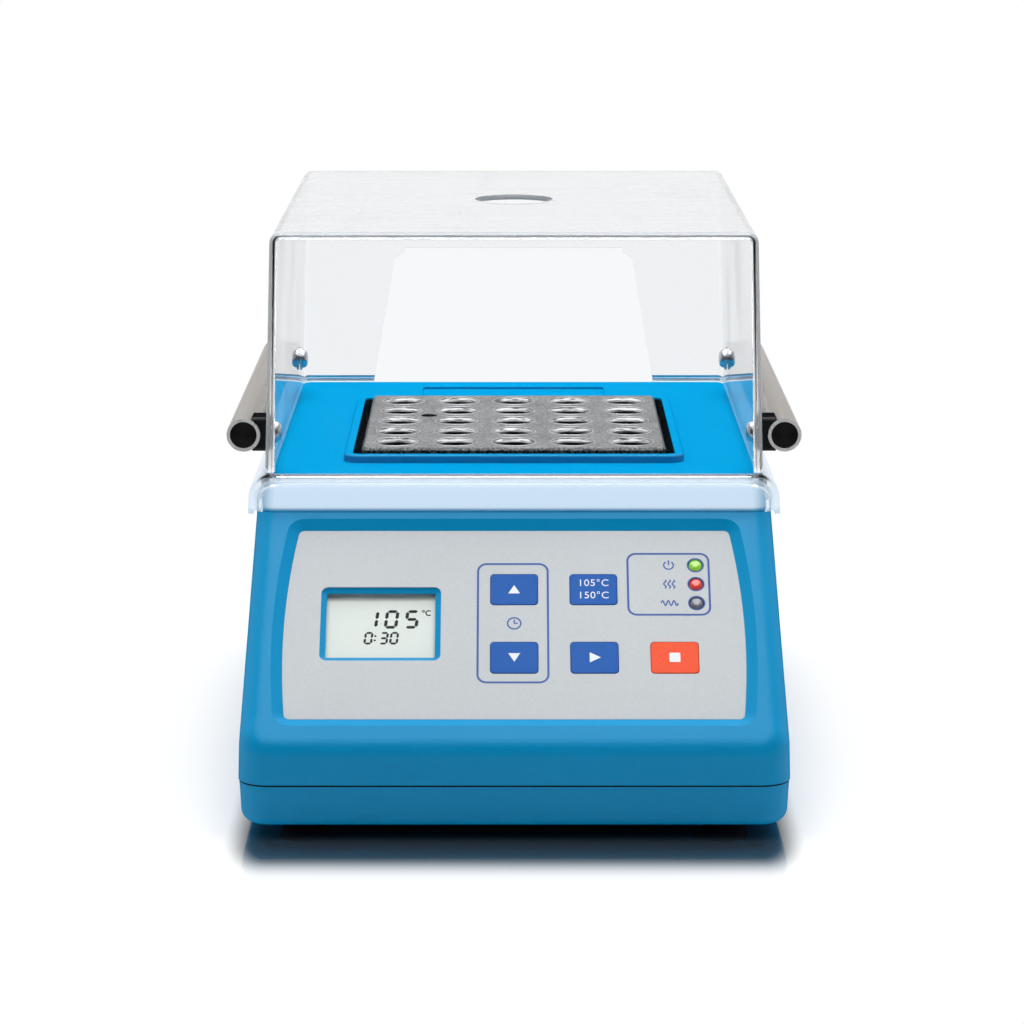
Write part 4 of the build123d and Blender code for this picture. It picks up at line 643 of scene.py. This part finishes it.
plug_finish = turned_plugs("turned black plug", srgb(30, 30, 30), 0.28, tube_middle.x, tube_middle.z)
blue_print = moulded_plastic("blue print", srgb(52, 92, 164), 0.5, drift=0.08, **PRINT_GRAIN)
white_print = moulded_plastic("white print", srgb(236, 240, 244), 0.5, **PRINT_GRAIN)
display_ink = moulded_plastic("black display ink", srgb(10, 12, 12), 0.5, **PRINT_GRAIN)
rim_metal = machined_metal("bright well rim", srgb(214, 215, 216), 0.3)


def dress_nodes():
    """Gives every CAD node the finish of its material slot. The handles' plugs are turned."""
    for entry in frame["record"]["subparts"]:
        piece = nodes[entry["node"]]
        finish = plug_finish if entry["node"] == "handle_plugs" else finishes[entry["material_slot"]]
        if not piece.material_slots:
            piece.data.materials.append(finish)
        for socket in piece.material_slots:
            socket.material = finish


# ------------------------------------------------------------------ printed marks
def add_piece(name, mesh, material, body):
    """A mesh as a piece that rides on a body, with its finish and the slot that it takes it from."""
    mesh.name = name
    mesh.materials.clear()
    mesh.materials.append(material)
    piece = bpy.data.objects.new(name, mesh)
    bpy.context.scene.collection.objects.link(piece)
    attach(piece, body)


def flat_mesh(curve):
    """The mesh of a flat curve or text, as thick as the print. Its outline stays in panel millimetres."""
    curve.extrude = PRINT_THICKNESS / MM / 2
    drawn = bpy.data.objects.new("outline", curve)
    mesh = bpy.data.meshes.new_from_object(drawn)
    bpy.data.objects.remove(drawn)
    return mesh


def printed(name, shapes, material, body, height):
    """Flat printed marks on the panel: closed outlines in panel millimetres, holes by even and odd."""
    curve = bpy.data.curves.new(name, "CURVE")
    curve.dimensions = "2D"
    curve.fill_mode = "BOTH"
    for points in shapes:
        spline = curve.splines.new("POLY")
        spline.points.add(len(points) - 1)
        for target, (u, v) in zip(spline.points, points):
            target.co = (u, v, 0, 1)
        spline.use_cyclic_u = True
    mesh = flat_mesh(curve)
    mesh.transform(panel_matrix(height + PRINT_THICKNESS / 2))
    add_piece(name, mesh, material, body)


def arc(middle, radius, start, stop, steps):
    """Points along an arc, angles in degrees."""
    u, v = middle
    return [(u + radius * math.cos(math.radians(start + (stop - start) * i / steps)),
             v + radius * math.sin(math.radians(start + (stop - start) * i / steps))) for i in range(steps + 1)]


def rounded(middle, width, height, radius, steps=8):
    """A rounded rectangle."""
    u, v = middle
    points = []
    for corner, (su, sv) in enumerate(((1, 1), (-1, 1), (-1, -1), (1, -1))):
        centre = (u + su * (width / 2 - radius), v + sv * (height / 2 - radius))
        points += arc(centre, radius, 90 * corner, 90 * corner + 90, steps)
    return points


def frame_line(middle, width, height, radius, line):
    """A rounded rectangle drawn as a line of the given width."""
    return [rounded(middle, width, height, radius),
            rounded(middle, width - 2 * line, height - 2 * line, radius - line)]


def ring(middle, radius, line, steps=40):
    """A circle drawn as a line of the given width."""
    return [arc(middle, size, 0, 360 - 360 / steps, steps - 1) for size in (radius, radius - line)]


def bar(start, end, width):
    """A straight stroke between two points."""
    (u0, v0), (u1, v1) = start, end
    length = math.hypot(u1 - u0, v1 - v0)
    du, dv = -(v1 - v0) / length * width / 2, (u1 - u0) / length * width / 2
    return [(u0 + du, v0 + dv), (u1 + du, v1 + dv), (u1 - du, v1 - dv), (u0 - du, v0 - dv)]


def stroke(points, width):
    """A bent stroke of even width through the points."""
    sides = [[], []]
    for i, (u, v) in enumerate(points):
        u0, v0 = points[max(i - 1, 0)]
        u1, v1 = points[min(i + 1, len(points) - 1)]
        length = math.hypot(u1 - u0, v1 - v0)
        du, dv = -(v1 - v0) / length * width / 2, (u1 - u0) / length * width / 2
        sides[0].append((u + du, v + dv))
        sides[1].append((u - du, v - dv))
    return sides[0] + sides[1][::-1]


SEGMENTS = {"0": "abcdef", "1": "bc", "3": "abcdg", "5": "acdfg"}


def digit(character, corner, width, height, line, slant):
    """Seven-segment strokes of one character, from its lower left corner."""
    gap = line * 0.12
    half = height / 2
    flat = {"a": height - line / 2, "g": half, "d": line / 2}
    upright = {"f": (line / 2, half), "b": (width - line / 2, half), "e": (line / 2, 0), "c": (width - line / 2, 0)}
    shapes = []
    for name in SEGMENTS[character]:
        if name in flat:
            v = flat[name]
            outline = [(line / 2 + gap, v), (line + gap, v + line / 2), (width - line - gap, v + line / 2),
                       (width - line / 2 - gap, v), (width - line - gap, v - line / 2), (line + gap, v - line / 2)]
        else:
            u, v = upright[name]
            low, high = v + (line / 2 if v == 0 else 0) + gap, v + half - (0 if v == 0 else line / 2) - gap
            outline = [(u, low), (u + line / 2, low + line / 2), (u + line / 2, high - line / 2), (u, high),
                       (u - line / 2, high - line / 2), (u - line / 2, low + line / 2)]
        shapes.append([(corner[0] + p + slant * q, corner[1] + q) for p, q in outline])
    return shapes


def print_numbers(name, lines, height, material, body):
    """Centred lines of plain numbers in Blender's own sans letter."""
    size_per_height, spacing = 1.38, 1.08
    for i, (text, middle) in enumerate(lines):
        curve = bpy.data.curves.new(f"{name}_{i}", "FONT")
        curve.body = text
        curve.size = height * size_per_height
        curve.space_character = spacing
        curve.align_x = "CENTER"
        curve.align_y = "CENTER"
        mesh = flat_mesh(curve)
        mesh.transform(panel_matrix(KEY_PROUD + PRINT_THICKNESS / 2) @ Matrix.Translation((*middle, 0)))
        add_piece(f"{name}_{i}", mesh, material, body)


def print_overlay():
    """Frames, symbols and lamp rings on the overlay, none of them words."""
    line = SYMBOL_LINE
    left = LAMP_X - 9.5  # middle of the symbols beside the lamps
    top, low = LAMP_ROW + LAMP_PITCH, LAMP_ROW - LAMP_PITCH
    lamp_rings = {f"{name}_lamp_ring": ring((LAMP_X, LAMP_ROW + offset * LAMP_PITCH), radius=3.05, line=line)
                  for name, offset in (("power", 1), ("hot", 0), ("heating", -1))}
    waves = [[(left + shift + 0.45 * math.sin(t * 0.9), LAMP_ROW - 1.8 + 0.36 * t) for t in range(11)]
             for shift in (-1.5, 0, 1.5)]
    coil = [(left - 3 + 0.25 * t, low + 1.1 * math.sin(t * math.pi / 4)) for t in range(25)]
    hands = [bar((0, -0.1), (0, 1.6), line), bar((-0.1, 0), (1.2, 0), line)]
    switch = [stroke(arc((left, top), 1.7, 125, 415, 28), line), bar((left, top + 0.1), (left, top + 2.1), line)]
    marks = {
        "timer_frame": frame_line((-0.45, 0.35), width=25.4, height=50.1, radius=3.5, line=FRAME_LINE),
        "lamp_frame": frame_line((54.6, LAMP_ROW), width=29.5, height=26.5, radius=3.4, line=FRAME_LINE),
        "clock_symbol": ring((0, 0), radius=2.6, line=0.55) + hands,
        **lamp_rings,
        "power_symbol": switch,
        "hot_symbol": [stroke(wave, line) for wave in waves],
        "heating_symbol": [stroke(coil, line)],
    }
    for name, shapes in marks.items():
        printed(name, shapes, blue_print, "base", 0)


def print_keys():
    """White symbols and numbers on the keys."""
    arrow = [(-2.1, -1.75), (2.1, -1.75), (0, 1.75)]
    play = [(-1.7, -2.1), (2.2, 0), (-1.7, 2.1)]
    numbers = [("105\u00b0C", (KEY_PITCH, KEY_ROW + 2.6)), ("150\u00b0C", (KEY_PITCH, KEY_ROW - 2.6))]
    print_numbers("temperature_numbers", numbers, 2.9, white_print, "temperature_key")
    marks = {"timer_up": ([(u, v + KEY_ROW) for u, v in arrow], "key_blue"),
             "timer_down": ([(u, -v - KEY_ROW) for u, v in arrow], "key_blue"),
             "start": ([(u + KEY_PITCH, v - KEY_ROW) for u, v in play], "key_blue"),
             "stop": (rounded((2 * KEY_PITCH, -KEY_ROW), width=3.8, height=3.8, radius=0.3), "key_orange")}
    for name, (shape, slot) in marks.items():
        printed(f"{name}_mark", [shape], white_print, f"{name}_key", KEY_PROUD)


def print_display():
    """Reading on the display: slanted seven-segment figures."""
    slant = 0.11
    large = dict(width=4.8, height=7.7, line=1.15, slant=slant)
    small = dict(width=3.1, height=5.2, line=0.8, slant=slant)
    shapes = []
    for character, offset in (("1", -6.15), ("0", 0.9), ("5", 8.05)):
        shapes += digit(character, (DISPLAY_X + offset, 0.0), **large)
    for character, offset in (("0", -6.1), ("3", -0.7), ("0", 2.9)):
        shapes += digit(character, (DISPLAY_X + offset, -6.6), **small)
    for v in (-4.9, -3.1):
        colon_dot = (DISPLAY_X - 1.95 + slant * (v + 4.0), v)
        shapes.append(rounded(colon_dot, width=0.7, height=0.7, radius=0.1))
    degree, letter = (DISPLAY_X + 14.9, 7.2), (DISPLAY_X + 16.8, 6.5)
    shapes += ring(degree, radius=0.55, line=0.3, steps=16)
    shapes.append(stroke(arc(letter, 1.0, 50, 310, 14), 0.45))
    printed("display_figures", shapes, display_ink, "base", -DISPLAY_DROP)


# ------------------------------------------------------------------ well rims
def rim_tree():
    """Geometry nodes: a square field of thin rings."""
    tree = bpy.data.node_groups.new("well rims", "GeometryNodeTree")
    for socket, kind, value in (("Pitch", "Float", WELL_PITCH), ("Ring radius", "Float", WELL_RADIUS),
                                ("Wire radius", "Float", RIM_WIRE), ("Wells per side", "Int", WELLS_PER_SIDE),
                                ("Finish", "Material", None)):
        made = tree.interface.new_socket(socket, in_out="INPUT", socket_type="NodeSocket" + kind)
        if value is not None:
            made.default_value = value
    tree.interface.new_socket("Geometry", in_out="OUTPUT", socket_type="NodeSocketGeometry")
    given = tree.nodes.new("NodeGroupInput").outputs
    count = given["Wells per side"]
    span = product(tree, math_node(tree, "SUBTRACT", count, 1.0), given["Pitch"])
    field = add_node(tree, "GeometryNodeMeshGrid", {"Size X": span, "Size Y": span, "Vertices X": count,
                                                    "Vertices Y": count}).outputs["Mesh"]
    circle = add_node(tree, "GeometryNodeCurvePrimitiveCircle", {"Resolution": 48, "Radius": given["Ring radius"]})
    wire = add_node(tree, "GeometryNodeCurvePrimitiveCircle", {"Resolution": 6, "Radius": given["Wire radius"]})
    rim = add_node(tree, "GeometryNodeCurveToMesh", {"Curve": circle.outputs[0], "Profile Curve": wire.outputs[0]})
    placed = add_node(tree, "GeometryNodeInstanceOnPoints", {"Points": field, "Instance": rim.outputs[0]})
    real = add_node(tree, "GeometryNodeRealizeInstances", {"Geometry": placed.outputs[0]})
    dressed = add_node(tree, "GeometryNodeSetMaterial", {"Geometry": real.outputs[0], "Material": given["Finish"]})
    add_node(tree, "NodeGroupOutput", {"Geometry": dressed.outputs[0]})
    return tree


def make_well_rims():
    """The bright broken edge at the mouth of each well."""
    tree = rim_tree()
    sizes = {"Pitch": WELL_PITCH, "Ring radius": WELL_RADIUS + 0.1 * MM, "Wire radius": RIM_WIRE,
             "Wells per side": WELLS_PER_SIDE, "Finish": rim_metal}
    holder = bpy.data.objects.new("well_rims_field", bpy.data.meshes.new("well_rims_field"))
    bpy.context.scene.collection.objects.link(holder)
    field = holder.modifiers.new("rims", "NODES")
    field.node_group = tree
    for item in tree.interface.items_tree:
        if item.item_type == "SOCKET" and item.in_out == "INPUT":
            field[item.identifier] = sizes[item.name]
    bpy.context.view_layer.update()
    mesh = bpy.data.meshes.new_from_object(holder.evaluated_get(bpy.context.evaluated_depsgraph_get()))
    holder.modifiers.remove(field)
    bpy.data.objects.remove(holder)
    mesh.transform(Matrix.Translation((block_middle.x, block_middle.y, block_high.z - RIM_DROP)))
    for face in mesh.polygons:
        face.use_smooth = True
    add_piece("well_rims", mesh, rim_metal, "base")


# ------------------------------------------------------------------ stage and light
def make_floor():
    """A wide floor under the object."""
    reach = 12.0
    corners = [(-reach, -reach, 0), (reach, -reach, 0), (reach, reach, 0), (-reach, reach, 0)]
    mesh = bpy.data.meshes.new("floor")
    mesh.from_pydata(corners, [], [(0, 1, 2, 3)])
    mesh.materials.append(plain_floor())
    floor = bpy.data.objects.new("floor", mesh)
    bpy.context.scene.collection.objects.link(floor)


def softbox(name, place, target, width, height, power):
    """A soft rectangular lamp aimed at a point. Metres and watts."""
    data = bpy.data.lights.new(name, "AREA")
    data.shape = "RECTANGLE"
    data.size, data.size_y, data.energy = width, height, power
    lamp = bpy.data.objects.new(name, data)
    lamp.location = place
    lamp.rotation_euler = (Vector(target) - Vector(place)).to_track_quat("-Z", "Y").to_euler()
    bpy.context.scene.collection.objects.link(lamp)


def make_world():
    """White to the eye and through glass. As a light it is white behind the object and dark on the camera's side."""
    dark, bright = 0.05, 0.9
    world = bpy.data.worlds.new("studio")
    bpy.context.scene.world = world
    world.use_nodes = True
    tree = world.node_tree
    tree.nodes.clear()
    way = tree.nodes.new("ShaderNodeTexCoord").outputs["Generated"]
    behind = spread(tree, split(tree, way)["Y"], -0.2, 0.5, dark, bright, "SMOOTHSTEP")
    path = tree.nodes.new("ShaderNodeLightPath").outputs
    seen = math_node(tree, "MAXIMUM", path["Is Camera Ray"], path["Is Transmission Ray"])
    unmirrored = math_node(tree, "SUBTRACT", seen, path["Glossy Depth"], clamp=True)
    light = add_node(tree, "ShaderNodeBackground", {"Color": WHITE,
                                                    "Strength": math_node(tree, "MAXIMUM", behind, unmirrored)})
    add_node(tree, "ShaderNodeOutputWorld", {"Surface": light.outputs[0]})


def make_light():
    """The world and five soft lamps: behind, above, in front and a strip at each side."""
    make_world()
    case_middle, before_case = (0, 0, 0.1), (0, -0.2, 0)
    softbox("key_from_behind", (0.0, 0.62, 1.4), case_middle, width=1.3, height=0.8, power=14)
    softbox("overhead", (0.0, -0.2, 1.45), before_case, width=1.5, height=0.5, power=13)
    softbox("front_fill", (0.0, -1.0, 1.6), case_middle, width=1.2, height=0.6, power=6.5)
    for name, side in (("left_strip", -1), ("right_strip", 1)):
        softbox(name, (1.2 * side, -0.25, 0.45), case_middle, width=0.2, height=0.9, power=0.9)


make_camera()
dress_nodes()
print_overlay()
print_keys()
print_display()
make_well_rims()
make_floor()
make_light()
bpy.context.scene.view_settings.view_transform = "Standard"
